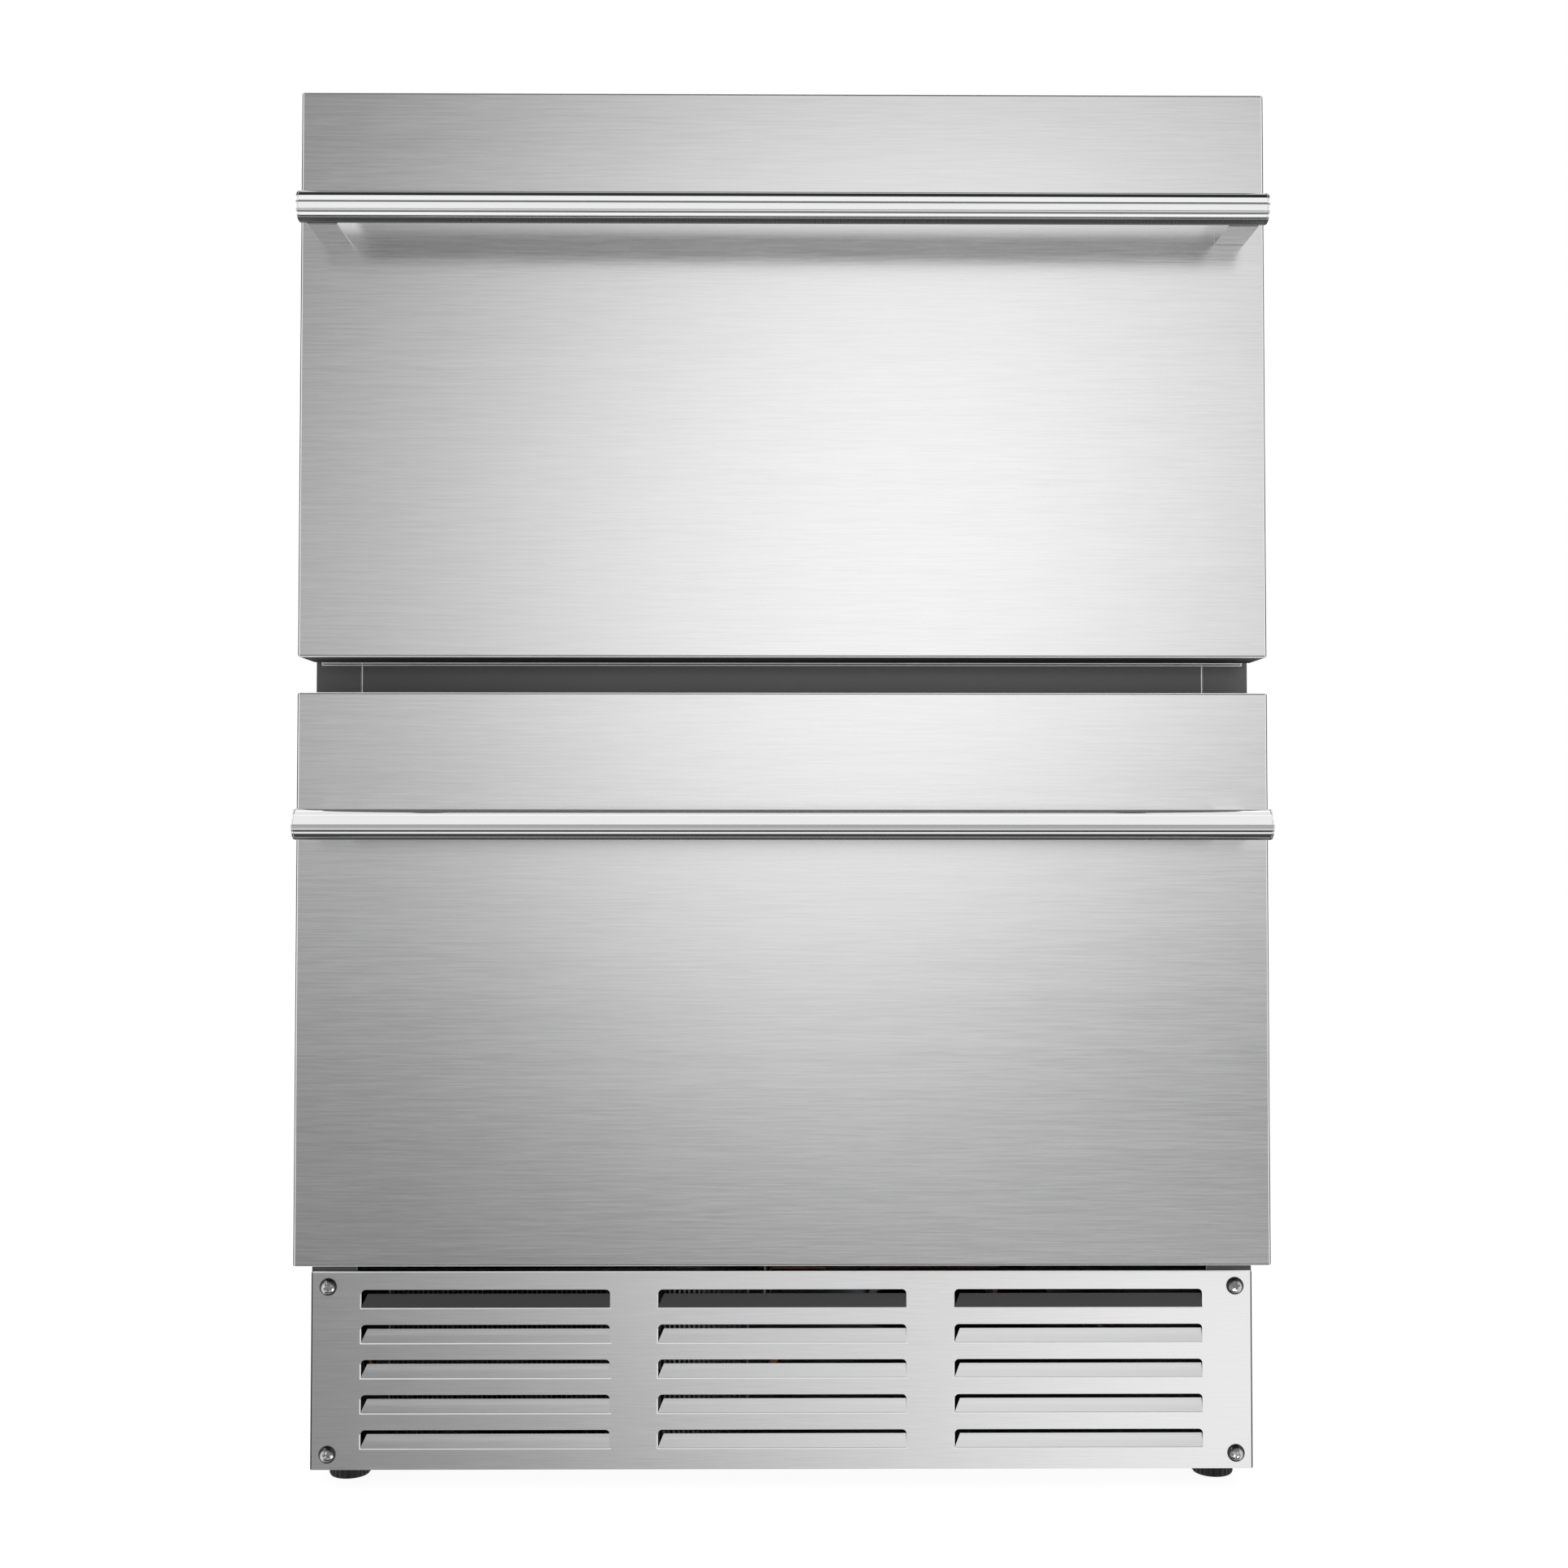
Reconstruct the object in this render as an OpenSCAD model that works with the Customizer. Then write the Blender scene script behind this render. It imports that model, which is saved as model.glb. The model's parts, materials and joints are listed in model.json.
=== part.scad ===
// Undercounter refrigerator with two drawers, in millimetres.
// X runs to the viewer's right, the drawers open towards -Y and Z is up.
// The origin is on the floor, midway across the width and midway from the handles to the back.

/* [Overall] */
// Width of the cabinet, the drawer fronts and the toe grille.
unit_w = 596; // [580:1:640]
// Height of the upper drawer front's top edge above the floor.
front_top_z = 875; // [870:1:900]
// Depth of the cabinet from its front face to its back.
cabinet_d = 560; // [550:1:600]
// Drop from the upper drawer front's top edge to the cabinet top.
cabinet_top_drop = 2; // [0:0.5:6]
// Height of the cabinet's lower edge above the floor.
cabinet_bottom_z = 16; // [16:0.5:18]

/* [Drawer fronts] */
// Gap between the toe grille and the lower front.
grille_gap = 14.1; // [12:0.1:18]
// Upper front's share of the height that the two fronts fill.
upper_share = 0.5004; // [0.49:0.0001:0.51]
// Gap between the two fronts.
front_gap = 21.7; // [18:0.1:26]
// Depth of the folded steel pan that faces each drawer.
pan_d = 38; // [34:1:44]
// Thickness of the pan's sheet.
pan_t = 1.2; // [0.8:0.1:1.5]
// Thickness of the moulded panel behind the pan.
inner_t = 2.5; // [2:0.1:3]
// How far the moulded panel's plug stands past the cabinet face.
plug_reach = 10; // [6:1:14]
// Thickness of the gasket between the front and the cabinet.
gasket_t = 10; // [8:0.5:12]
// Width of the gasket's sealing lip.
gasket_w = 14; // [12:0.5:15]
// Depth of the sealing lip.
gasket_lip_t = 3; // [2:0.5:4]
// How far the lip is wider than the gasket body on each side.
gasket_lip_step = 1.8; // [1:0.1:2.5]
// Inset of the lip from the front's side edges.
gasket_side_inset = 3.3; // [2:0.1:5]
// Inset of the lip from the front's top and bottom edges.
gasket_end_inset = 0.6; // [0.4:0.1:2]

/* [Handles] */
// Diameter of the bar.
bar_d = 18.4; // [16:0.1:20]
// Wall of the bar's tube.
bar_wall = 1.5; // [1:0.1:2]
// Distance from the front's side edges to the bar's ends.
bar_inset = 10.5; // [8:0.5:18]
// Distance from the drawer face to the bar's axis.
bar_reach = 39; // [36:0.5:60]
// Side of the square posts.
post_side = 18.4; // [16:0.1:19]
// Distance from the bar's ends to the middle of each post.
post_inset = 11.2; // [11:0.1:36]
// Drop from the upper front's top edge to its bar.
upper_bar_drop = 85; // [80:0.1:100]
// Drop from the lower front's top edge to its bar.
lower_bar_drop = 80.9; // [75:0.1:95]
// Diameter of the screws that hold the posts.
handle_screw_d = 6; // [5:0.5:6]
// How far each screw enters its post.
handle_screw_grip = 14; // [10:1:18]
// Thickness of the disc on each end cap.
cap_t = 1.5; // [1:0.1:2]
// Length of each cap's spigot.
cap_spigot_l = 8; // [5:1:12]

/* [Cabinet] */
// Thickness of the outer steel sheet.
shell_t = 1; // [0.8:0.1:1.2]
// Width of the flanges folded round the front of the cabinet.
flange_w = 28.5; // [26:0.5:29]
// Seam between the flanges and the rails.
seam = 0.4; // [0.3:0.1:1]
// Insulation between the side sheet and the liner.
side_foam_t = 35; // [33:0.5:36]
// Insulation at the back.
rear_foam_t = 46; // [40:1:50]
// Insulation above the liner.
top_foam_t = 36; // [34:0.5:38]
// Insulation below the liner.
floor_foam_t = 36; // [32:1:40]
// Thickness of the liner.
liner_t = 1.5; // [1.2:0.1:2]
// Height of the deck over the machine compartment.
deck_z = 142; // [141:0.5:143]
// Height of the rail between the two drawers.
mullion_h = 60; // [56:1:66]
// Depth of that rail.
mullion_d = 45; // [30:1:50]
// Wall of that rail.
mullion_wall = 2; // [1.5:0.5:3]

/* [Toe grille] */
// Height of the grille's lower edge above the floor.
grille_bottom_z = 14.4; // [14:0.1:14.5]
// Height of the grille.
grille_h = 124.3; // [122:0.1:124.5]
// Thickness of the grille's sheet.
grille_t = 1.2; // [1:0.1:1.2]
// Depth of the flanges folded back along its upper and lower edges.
grille_return = 10; // [6:1:14]
// Radius of the grille's corners.
grille_corner_r = 1; // [0.5:0.5:4]
// Distance from the grille's ends to the outer louvres.
louvre_margin = 31.5; // [29:0.1:40]
// Distance between the louvre columns.
louvre_gap = 30.5; // [20:0.1:40]
// Height of a louvre.
louvre_h = 11.4; // [10:0.1:12]
// Radius of a louvre's upper corners.
louvre_r = 2.6; // [1:0.1:4]
// Spacing of the louvre rows.
louvre_pitch_z = 22; // [20:0.1:23]
// Drop from the grille's top edge to the first row.
louvre_top_drop = 11.5; // [11:0.1:14]
// How far a louvre's blade rises.
blade_rise = 7.9; // [5:0.1:9]
// How far a louvre's blade leans in.
blade_in = 3; // [2:0.5:7.5]
// Left end of the break in the upper flange.
flange_break_left = -55; // [-80:1:-40]
// Right end of the break in the upper flange.
flange_break_right = 27.4; // [20:0.1:60]
// Distance of the grille's screws from its ends.
grille_screw_inset = 10.6; // [10:0.1:14]
// Distance of the grille's screws from its long edges.
grille_screw_edge = 9.6; // [9:0.1:12]
// Diameter of the screws' heads.
grille_head_d = 11; // [9:0.5:12]
// Height of the screws' heads.
grille_head_h = 2.8; // [2:0.1:3.5]
// Diameter of the screws' shanks.
grille_shank_d = 4.8; // [4:0.1:5]
// Length of the screws' shanks.
grille_shank_l = 9; // [6:1:12]

/* [Feet] */
// Radius of a foot's ribbed knob, out to the ribs.
foot_r = 13.2; // [12:0.1:15]
// Number of ribs round the knob.
foot_ribs = 24; // [12:1:30]
// Diameter of a foot's stud.
stud_d = 10; // [8:1:12]
// Length of a foot's stud above its knob.
stud_l = 34; // [30:1:40]
// Distance of each foot from the cabinet's side.
foot_inset = 17; // [16:0.5:28]
// Distance of the front feet behind the drawer faces.
front_foot_y = 84; // [70:1:110]
// Distance of the rear feet from the back.
rear_foot_y = 45; // [30:1:70]

/* [Bins and slides] */
// Clearance behind each bin.
bin_rear_gap = 15; // [10:1:60]
// Clearance above the upper bin.
bin_headroom = 48.5; // [40:0.5:90]
// Wall of a bin.
bin_t = 1.6; // [1.2:0.1:2.5]
// Width of a bin's rim.
bin_rim_w = 7; // [4:0.5:9]
// Radius of a bin's upright corners.
bin_corner_r = 16; // [8:1:30]
// Height of the lower bin above the liner's floor.
lower_bin_rise = 12; // [8:1:20]
// Height of the upper bin above the rail between the drawers.
upper_bin_rise = 12; // [8:1:20]
// Height of a slide's axis above the bin's floor.
slide_rise = 40; // [30:1:60]
// Clearance behind the slides.
slide_rear_gap = 13; // [8:1:40]
// Height of a slide.
slide_h = 42; // [36:1:46]
// Width of a slide.
slide_w = 13; // [12.7:0.1:14]
// Thickness of the slides' steel.
slide_t = 1.5; // [1.2:0.1:1.5]
// Running clearance inside a slide.
slide_gap = 0.3; // [0.2:0.05:0.4]
// Height of the lips on a slide's outer member.
slide_lip = 4.5; // [4:0.5:6]
// How far a runner stands out of its slide.
runner_neck = 1.5; // [1:0.1:2]
// Thickness of the drawer brackets.
bracket_t = 1.5; // [1.2:0.1:2]
// Width of the brackets' flanges.
bracket_flange = 18; // [12:1:25]

/* [Cooling] */
// Radius of the compressor's shell.
compressor_r = 64; // [55:1:68]
// Height of the compressor's shell.
compressor_h = 100; // [80:1:105]
// Radius of the compressor's rounded rim.
compressor_rim_r = 22; // [15:1:30]
// Distance from the cabinet's side to the compressor's axis.
compressor_inset = 148; // [140:1:155]
// Distance of the compressor from the back.
compressor_y = 150; // [140:1:160]
// Length of the condenser between its end plates.
condenser_l = 230; // [200:1:240]
// Depth of the condenser's fins.
condenser_d = 40; // [30:1:44]
// Height of the condenser's fins.
condenser_h = 100; // [80:1:104]
// Outer side of the condenser fan's frame.
condenser_fan_side = 104; // [90:1:110]
// Length of the evaporator between its end plates.
evaporator_l = 380; // [300:1:400]
// Depth of the evaporator's fins.
evaporator_d = 36; // [30:1:40]
// Height of the evaporator above the divider.
evaporator_rise = 21.4; // [15:0.1:60]
// Clearance between the evaporator and its fan.
evaporator_fan_gap = 27.2; // [15:0.1:50]
// Outer side of the evaporator fan's frame.
evaporator_fan_side = 92; // [80:1:95]
// Depth of each fan's frame.
fan_d = 25; // [20:1:28]
// Number of blades on each fan.
fan_blades = 7; // [5:1:9]
// Radius of the coil tubes.
tube_r = 4; // [3:0.5:5]
// Spacing of the coil tubes.
tube_pitch = 24; // [20:1:24]
// Distance from the liner's back wall to the duct cover.
duct_d = 46; // [44:1:50]
// Radius of the refrigerant lines.
line_r = 3; // [2.5:0.5:4]
// Distance from the compressor's axis to the upright suction line.
suction_offset = 50; // [30:1:70]
// How far behind the cabinet face the discharge line crosses.
discharge_run = 120; // [110:1:140]
// Height of the discharge outlet on the compressor.
discharge_rise = 60; // [40:1:70]
// Radius of the filter drier.
drier_r = 10; // [8:0.5:12]
// Length of the filter drier.
drier_l = 90; // [70:1:110]
// Distance of the filter drier from the cabinet's side.
drier_inset = 58; // [30:1:70]
// Distance of the filter drier behind the cabinet face.
drier_setback = 160; // [100:1:180]
// Length and width of the drip tray.
tray_size = [170, 150]; // [100:1:200]
// Depth of the drip tray.
tray_depth = 24; // [15:1:30]
// Distance of the drip tray from the cabinet's side.
tray_inset = 30; // [10:1:60]
// Distance of the drip tray's front edge from the cabinet's back.
tray_setback = 200; // [190:1:220]
// Radius of the drain tube.
drain_r = 8; // [6:0.5:10]

/* [Controls] */
// Width of the control housing.
control_w = 300; // [220:1:400]
// Height of the control housing.
control_h = 24; // [22:1:28]
// Depth of the control housing.
control_d = 30; // [24:1:40]
// Wall of the control housing.
control_wall = 2; // [1.5:0.1:2.5]
// Radius of a control button.
button_r = 5; // [4:0.5:6]
// Spacing of the buttons.
button_pitch = 24; // [18:1:30]
// How far a button stands out.
button_proud = 1.5; // [1.2:0.1:2]
// Width of the display window.
window_w = 70; // [40:1:90]
// Distance from the housing's left end to the middle of the window.
window_inset = 70; // [50:1:100]
// Distance from the housing's right end to the last button.
button_inset = 62; // [20:1:90]

/* [Fits] */
// Clearance where two fixed pieces meet.
seat = 0.15; // [0.1:0.05:0.2]
// Radial clearance of shanks, studs and shafts.
fit = 0.05; // [0.03:0.01:0.08]

/* [Hidden] */
$fn = 64;
lower = 0;
upper = 1;
cut = 1;
half_w = unit_w / 2;
front_y = -(pan_d + gasket_t + cabinet_d - bar_reach - bar_d / 2) / 2;
face_y = front_y + pan_d + gasket_t;
back_y = face_y + cabinet_d;
cabinet_top_z = front_top_z - cabinet_top_drop;
grille_top_z = grille_bottom_z + grille_h;
lower_front_z = grille_top_z + grille_gap;
upper_front_h = (front_top_z - lower_front_z - front_gap) * upper_share;
upper_front_z = front_top_z - upper_front_h;
lower_front_h = upper_front_z - front_gap - lower_front_z;
front_z = [lower_front_z, upper_front_z];
front_h = [lower_front_h, upper_front_h];
bar_z = [lower_front_z + lower_front_h - lower_bar_drop, front_top_z - upper_bar_drop];
bar_y = front_y - bar_reach;
bar_l = unit_w - 2 * bar_inset;
post_x = bar_l / 2 - post_inset;
liner_flange_y = face_y + shell_t + seat;
foam_front_y = liner_flange_y + liner_t + seat;
room_half_w = half_w - shell_t - side_foam_t - liner_t - 2 * seat;
room_back_y = back_y - shell_t - rear_foam_t - liner_t - 2 * seat;
room_floor_z = deck_z + shell_t + floor_foam_t + liner_t + 2 * seat;
room_top_z = cabinet_top_z - shell_t - top_foam_t - liner_t - 2 * seat;
mullion_z = upper_front_z - front_gap / 2 - mullion_h / 2;
rail_half_w = half_w - flange_w - seam;
duct_y = room_back_y - duct_d;
duct_t = 1.5;
plug_inset = 5;
plug_z = [room_floor_z + plug_inset, mullion_z + mullion_h + plug_inset];
plug_top_z = [mullion_z - plug_inset, room_top_z - plug_inset];
plug_half_w = room_half_w - plug_inset;
plug_y = face_y + plug_reach;
bin_z = [room_floor_z + lower_bin_rise, mullion_z + mullion_h + upper_bin_rise];
bin_h = plug_top_z[upper] - bin_z[upper] - bin_headroom;
slide_z = [bin_z[lower] + slide_rise, bin_z[upper] + slide_rise];
slide_y = plug_y + 12;
slide_l = duct_y - slide_rear_gap - slide_y;
slide_x = room_half_w - seat;
mid_off = slide_t + slide_gap;
mid_h = slide_h - 2 * mid_off;
mid_w = slide_w - 2 * mid_off;
mid_lip = slide_lip - 1;
run_off = mid_off + slide_t + slide_gap;
run_h = mid_h - 2 * (slide_t + slide_gap);
run_w = mid_w - 2 * (slide_t + slide_gap);
neck_h = mid_h - 2 * slide_t - 2 * mid_lip - 2 * slide_gap;
bracket_x = slide_x - slide_w - runner_neck - seat;
bin_half_w = bracket_x - bracket_t - 2 * seat;
bracket_y = plug_y + seat;
bin_y = bracket_y + bracket_t + 2 * seat;
bin_d = duct_y - bin_rear_gap - bin_y;
bracket_rise = slide_rise + 24;
bracket_lip = 12;
base_t = 2;
base_top_z = cabinet_bottom_z + base_t;
boss_h = 14;
boss_r = 9;
knob_h = cabinet_bottom_z - 2 * seat;
foot_x = half_w - foot_inset;
foot_pos = [
    [-foot_x, front_y + front_foot_y],
    [foot_x, front_y + front_foot_y],
    [-foot_x, back_y - rear_foot_y],
    [foot_x, back_y - rear_foot_y]
];
grille_y = face_y - grille_t - seat;
grille_screw_pos = [
    for (x = [-1, 1], z = [grille_bottom_z + grille_screw_edge, grille_top_z - grille_screw_edge])
        [x * (half_w - grille_screw_inset), z]
];
louvre_rows = 5;
louvre_columns = 3;
louvre_w = (unit_w - 2 * louvre_margin - (louvre_columns - 1) * louvre_gap) / louvre_columns;
louvre_pitch_x = louvre_w + louvre_gap;
mount_h = 8;
compressor_pos = [half_w - compressor_inset, back_y - compressor_y];
compressor_z = base_top_z + mount_h + 2 * seat;
foot_plate = [150, 110, 3];
compressor_mount_inset = 14;
condenser_pos = [-half_w + 45, face_y + 24, base_top_z + 4];
coil_bend_r = tube_pitch / 2;
coil_plate_t = 1.5;
condenser_fan_pos = [
    condenser_pos[0] + condenser_l / 2,
    condenser_pos[1] + condenser_d + 0.3,
    base_top_z + condenser_fan_side / 2 + seat
];
evaporator_fan_pos = [0, duct_y + duct_t + seat, room_top_z - evaporator_fan_side / 2 - 20];
evaporator_z = mullion_z + mullion_h + evaporator_rise;
evaporator_h = evaporator_fan_pos[2] - evaporator_fan_side / 2 - evaporator_fan_gap - evaporator_z;
evaporator_pos = [-evaporator_l / 2, room_back_y - evaporator_d - 0.3, evaporator_z];
shaft_r = 2.5;
hub_r_ratio = 0.4;
tray = [tray_size[0], tray_size[1], tray_depth];
tray_pos = [-half_w + tray_inset, back_y - tray_setback];
tray_t = 1.8;
drain_pos = [tray_pos[0] + tray[0] / 2, room_back_y - 24];
suction_pos = [compressor_pos[0] + suction_offset, room_back_y - 22];
drier_pos = [half_w - drier_inset, face_y + drier_setback, base_top_z + 26];
control_y = plug_y + 8;
control_z = room_top_z - control_h;
button_z = control_z + control_h / 2;
button_x = [for (i = [2:-1:0]) control_w / 2 - button_inset - i * button_pitch];
button_flange_r = button_r + 1.4;
button_flange_t = 1.2;
window_x = -control_w / 2 + window_inset;
window_h = 14;
lamp = [320, 16, 9];
lamp_y = control_y + control_d + 20;
inlet_pos = [half_w - 90, base_top_z + 40];
inlet = [28, 20];
inlet_flange = [36, 28];
inlet_d = 18;
vent = [150, 6];
steel = [0.80, 0.80, 0.81];
bright_steel = [0.88, 0.88, 0.89];
satin_steel = [0.72, 0.72, 0.73];
painted_grey = [0.25, 0.26, 0.28];
pale_grey = [0.84, 0.85, 0.86];
dark_grey = [0.14, 0.14, 0.15];
gasket_grey = [0.55, 0.56, 0.57];
foam_cream = [0.93, 0.86, 0.66];
zinc = [0.66, 0.68, 0.70];
copper = [0.78, 0.46, 0.30];
aluminium = [0.78, 0.80, 0.82];
black = [0.07, 0.07, 0.08];

// A block given by two opposite corners.
module block(low, high) {
    translate(low) cube(high - low);
}

// A round bar along X, Y or Z.
module bar_x(r, l) {
    rotate([0, 90, 0]) cylinder(r = r, h = l);
}

module bar_back(r, l) {
    rotate([-90, 0, 0]) cylinder(r = r, h = l);
}

// The same piece on the left and the right.
module both_sides() {
    children();
    mirror([1, 0, 0]) children();
}

// A flat ring of rectangular outline, upright across the front.
module upright_ring(x_out, x_in, z_out, z_in, y0, y1) {
    difference() {
        block([-x_out, y0, z_out[0]], [x_out, y1, z_out[1]]);
        block([-x_in, y0 - cut, z_in[0]], [x_in, y1 + cut, z_in[1]]);
    }
}

// Rounded rectangle of size s.
module rounded_rect(s, r) {
    translate([r, 0]) square([s[0] - 2 * r, s[1]]);
    translate([0, r]) square([s[0], s[1] - 2 * r]);
    for (x = [r, s[0] - r], y = [r, s[1] - r]) translate([x, y]) circle(r);
}

// ---- Cabinet ----

module cabinet_shell() {
    color(painted_grey) difference() {
        union() {
            both_sides() {
                block([half_w - shell_t, face_y, cabinet_bottom_z],
                      [half_w, back_y - shell_t - seat, cabinet_top_z]);
                block([half_w - flange_w, face_y, cabinet_bottom_z],
                      [half_w, face_y + shell_t, cabinet_top_z]);
            }
            block([-half_w, face_y, cabinet_top_z - shell_t],
                  [half_w, back_y - shell_t - seat, cabinet_top_z]);
            block([-half_w, face_y, cabinet_top_z - flange_w],
                  [half_w, face_y + shell_t, cabinet_top_z]);
        }
        for (p = grille_screw_pos)
            translate([p[0], face_y - cut, p[1]]) bar_back(grille_shank_d / 2 + fit, shell_t + 2 * cut);
    }
}

module back_panel() {
    color(zinc) difference() {
        block([-half_w, back_y - shell_t, cabinet_bottom_z], [half_w, back_y, cabinet_top_z]);
        for (x = [-1, 1], i = [0:4])
            translate([x * half_w / 2 - vent[0] / 2, back_y - shell_t - cut, cabinet_bottom_z + 62 + 11 * i])
                cube([vent[0], shell_t + 2 * cut, vent[1]]);
        translate([inlet_pos[0], back_y, inlet_pos[1]])
            block([-inlet[0] / 2 - seat, -shell_t - cut, -inlet[1] / 2 - seat],
                  [inlet[0] / 2 + seat, cut, inlet[1] / 2 + seat]);
    }
}

module base_pan() {
    color(zinc) difference() {
        union() {
            block([-half_w + shell_t + seat, face_y + shell_t + seat, cabinet_bottom_z],
                  [half_w - shell_t - seat, back_y - shell_t - seat, base_top_z]);
            for (p = foot_pos)
                translate([p[0], p[1], cabinet_bottom_z]) cylinder(r = boss_r, h = boss_h);
        }
        for (p = foot_pos)
            translate([p[0], p[1], cabinet_bottom_z - cut])
                cylinder(d = stud_d + 2 * fit, h = boss_h + 2 * cut);
    }
}

// Upright holes for the drain and the suction line.
module service_holes(extra) {
    translate([drain_pos[0], drain_pos[1], 0]) cylinder(r = drain_r + extra, h = room_floor_z + cut);
    translate([suction_pos[0], suction_pos[1], 0]) cylinder(r = line_r + extra, h = room_floor_z + cut);
}

module cabinet_foam() {
    color(foam_cream) difference() {
        block([-half_w + shell_t + seat, foam_front_y, deck_z + shell_t + seat],
              [half_w - shell_t - seat, back_y - shell_t - seat, cabinet_top_z - shell_t - seat]);
        block([-room_half_w - liner_t - seat, face_y, room_floor_z - liner_t - seat],
              [room_half_w + liner_t + seat, room_back_y + liner_t + seat, room_top_z + liner_t + seat]);
        service_holes(2 * seat);
    }
}

module cabinet_liner() {
    color(pale_grey) difference() {
        union() {
            block([-room_half_w - liner_t, liner_flange_y, room_floor_z - liner_t],
                  [room_half_w + liner_t, room_back_y + liner_t, room_top_z + liner_t]);
            block([-half_w + flange_w / 2, liner_flange_y, deck_z + shell_t + 4 * seat],
                  [half_w - flange_w / 2, liner_flange_y + liner_t, cabinet_top_z - flange_w / 2]);
        }
        block([-room_half_w, face_y - cut, room_floor_z], [room_half_w, room_back_y, room_top_z]);
        service_holes(2 * seat);
    }
}

module mullion() {
    color(painted_grey) difference() {
        union() {
            block([-rail_half_w, face_y, mullion_z], [rail_half_w, face_y + shell_t, mullion_z + mullion_h]);
            block([-room_half_w + seat, face_y, mullion_z],
                  [room_half_w - seat, face_y + mullion_d, mullion_z + mullion_h]);
        }
        block([-half_w, face_y + mullion_wall, mullion_z + mullion_wall],
              [half_w, face_y + mullion_d - mullion_wall, mullion_z + mullion_h - mullion_wall]);
    }
}

module deck_panel() {
    color(painted_grey) difference() {
        union() {
            block([-half_w + shell_t + seat, liner_flange_y, deck_z],
                  [half_w - shell_t - seat, back_y - shell_t - seat, deck_z + shell_t]);
            block([-rail_half_w, face_y, deck_z], [rail_half_w, liner_flange_y + cut, deck_z + shell_t]);
            block([-rail_half_w, face_y, deck_z], [rail_half_w, face_y + shell_t, room_floor_z]);
        }
        service_holes(2 * seat);
    }
}

// ---- Toe grille and feet ----

// Louvre opening with rounded upper corners.
module louvre_hole() {
    square([louvre_w, louvre_h - louvre_r]);
    translate([louvre_r, 0]) square([louvre_w - 2 * louvre_r, louvre_h]);
    for (x = [louvre_r, louvre_w - louvre_r]) translate([x, louvre_h - louvre_r]) circle(louvre_r);
}

// Blade that leans in from a louvre's lower edge.
module louvre_blade() {
    rotate([90, 0, 90]) linear_extrude(louvre_w)
        polygon([[0, -grille_t], [grille_t, -grille_t], [blade_in + grille_t, blade_rise],
                 [blade_in, blade_rise], [0, 0]]);
}

module toe_grille() {
    column_x = -louvre_pitch_x * (louvre_columns - 1) / 2 - louvre_w / 2;
    row_z = grille_h - louvre_top_drop - louvre_h;
    color(satin_steel) translate([0, grille_y, grille_bottom_z]) {
        difference() {
            translate([-half_w, grille_t, 0]) rotate([90, 0, 0]) linear_extrude(grille_t)
                rounded_rect([unit_w, grille_h], grille_corner_r);
            for (i = [0:louvre_columns - 1], j = [0:louvre_rows - 1])
                translate([column_x + i * louvre_pitch_x, grille_t + cut, row_z - j * louvre_pitch_z])
                    rotate([90, 0, 0]) linear_extrude(grille_t + 2 * cut) louvre_hole();
            for (p = grille_screw_pos)
                translate([p[0], -cut, p[1] - grille_bottom_z])
                    bar_back(grille_shank_d / 2 + 4 * seat, grille_t + 2 * cut);
        }
        for (i = [0:louvre_columns - 1], j = [0:louvre_rows - 1])
            translate([column_x + i * louvre_pitch_x, 0, row_z - j * louvre_pitch_z]) louvre_blade();
        block([-rail_half_w, 0, 0], [rail_half_w, grille_return, grille_t]);
        block([-rail_half_w, 0, grille_h - grille_t], [flange_break_left, grille_return, grille_h]);
        block([flange_break_right, 0, grille_h - grille_t], [rail_half_w, grille_return, grille_h]);
    }
}

// Pan-head screw with a cross recess, pointing to +Y from the underside of its head.
module cross_screw(head_d, head_h, shank_d, shank_l) {
    recess_w = head_d / 8;
    recess_l = head_d * 0.55;
    difference() {
        union() {
            bar_back(shank_d / 2, shank_l);
            rotate([90, 0, 0]) cylinder(d = head_d, h = head_h * 0.6);
            translate([0, -head_h * 0.6, 0]) rotate([90, 0, 0])
                cylinder(d1 = head_d, d2 = head_d * 0.72, h = head_h * 0.4);
        }
        for (s = [[recess_l, recess_w], [recess_w, recess_l]])
            translate([-s[0] / 2, -head_h - cut, -s[1] / 2]) cube([s[0], head_h * 0.6 + cut, s[1]]);
    }
}

module grille_screws() {
    color(bright_steel) for (p = grille_screw_pos)
        translate([p[0], grille_y - seat, p[1]])
            cross_screw(grille_head_d, grille_head_h, grille_shank_d, grille_shank_l);
}

module levelling_foot(p) {
    rib_r = 1.1;
    color(black) translate([p[0], p[1], 0]) {
        cylinder(r = foot_r - rib_r, h = knob_h);
        for (i = [0:foot_ribs - 1]) rotate([0, 0, i * 360 / foot_ribs])
            translate([foot_r - rib_r, 0, 0]) cylinder(r = rib_r, h = knob_h - 1);
        cylinder(d = stud_d, h = knob_h + stud_l);
    }
}

module foot_front_left() levelling_foot(foot_pos[0]);
module foot_front_right() levelling_foot(foot_pos[1]);
module foot_rear_left() levelling_foot(foot_pos[2]);
module foot_rear_right() levelling_foot(foot_pos[3]);

// ---- Machine compartment ----

// Centres of the compressor's four mounts.
function mount_centres() = [
    for (x = [-1, 1], y = [-1, 1]) [
        compressor_pos[0] + x * (foot_plate[0] / 2 - compressor_mount_inset),
        compressor_pos[1] + y * (foot_plate[1] / 2 - compressor_mount_inset)
    ]
];

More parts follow.
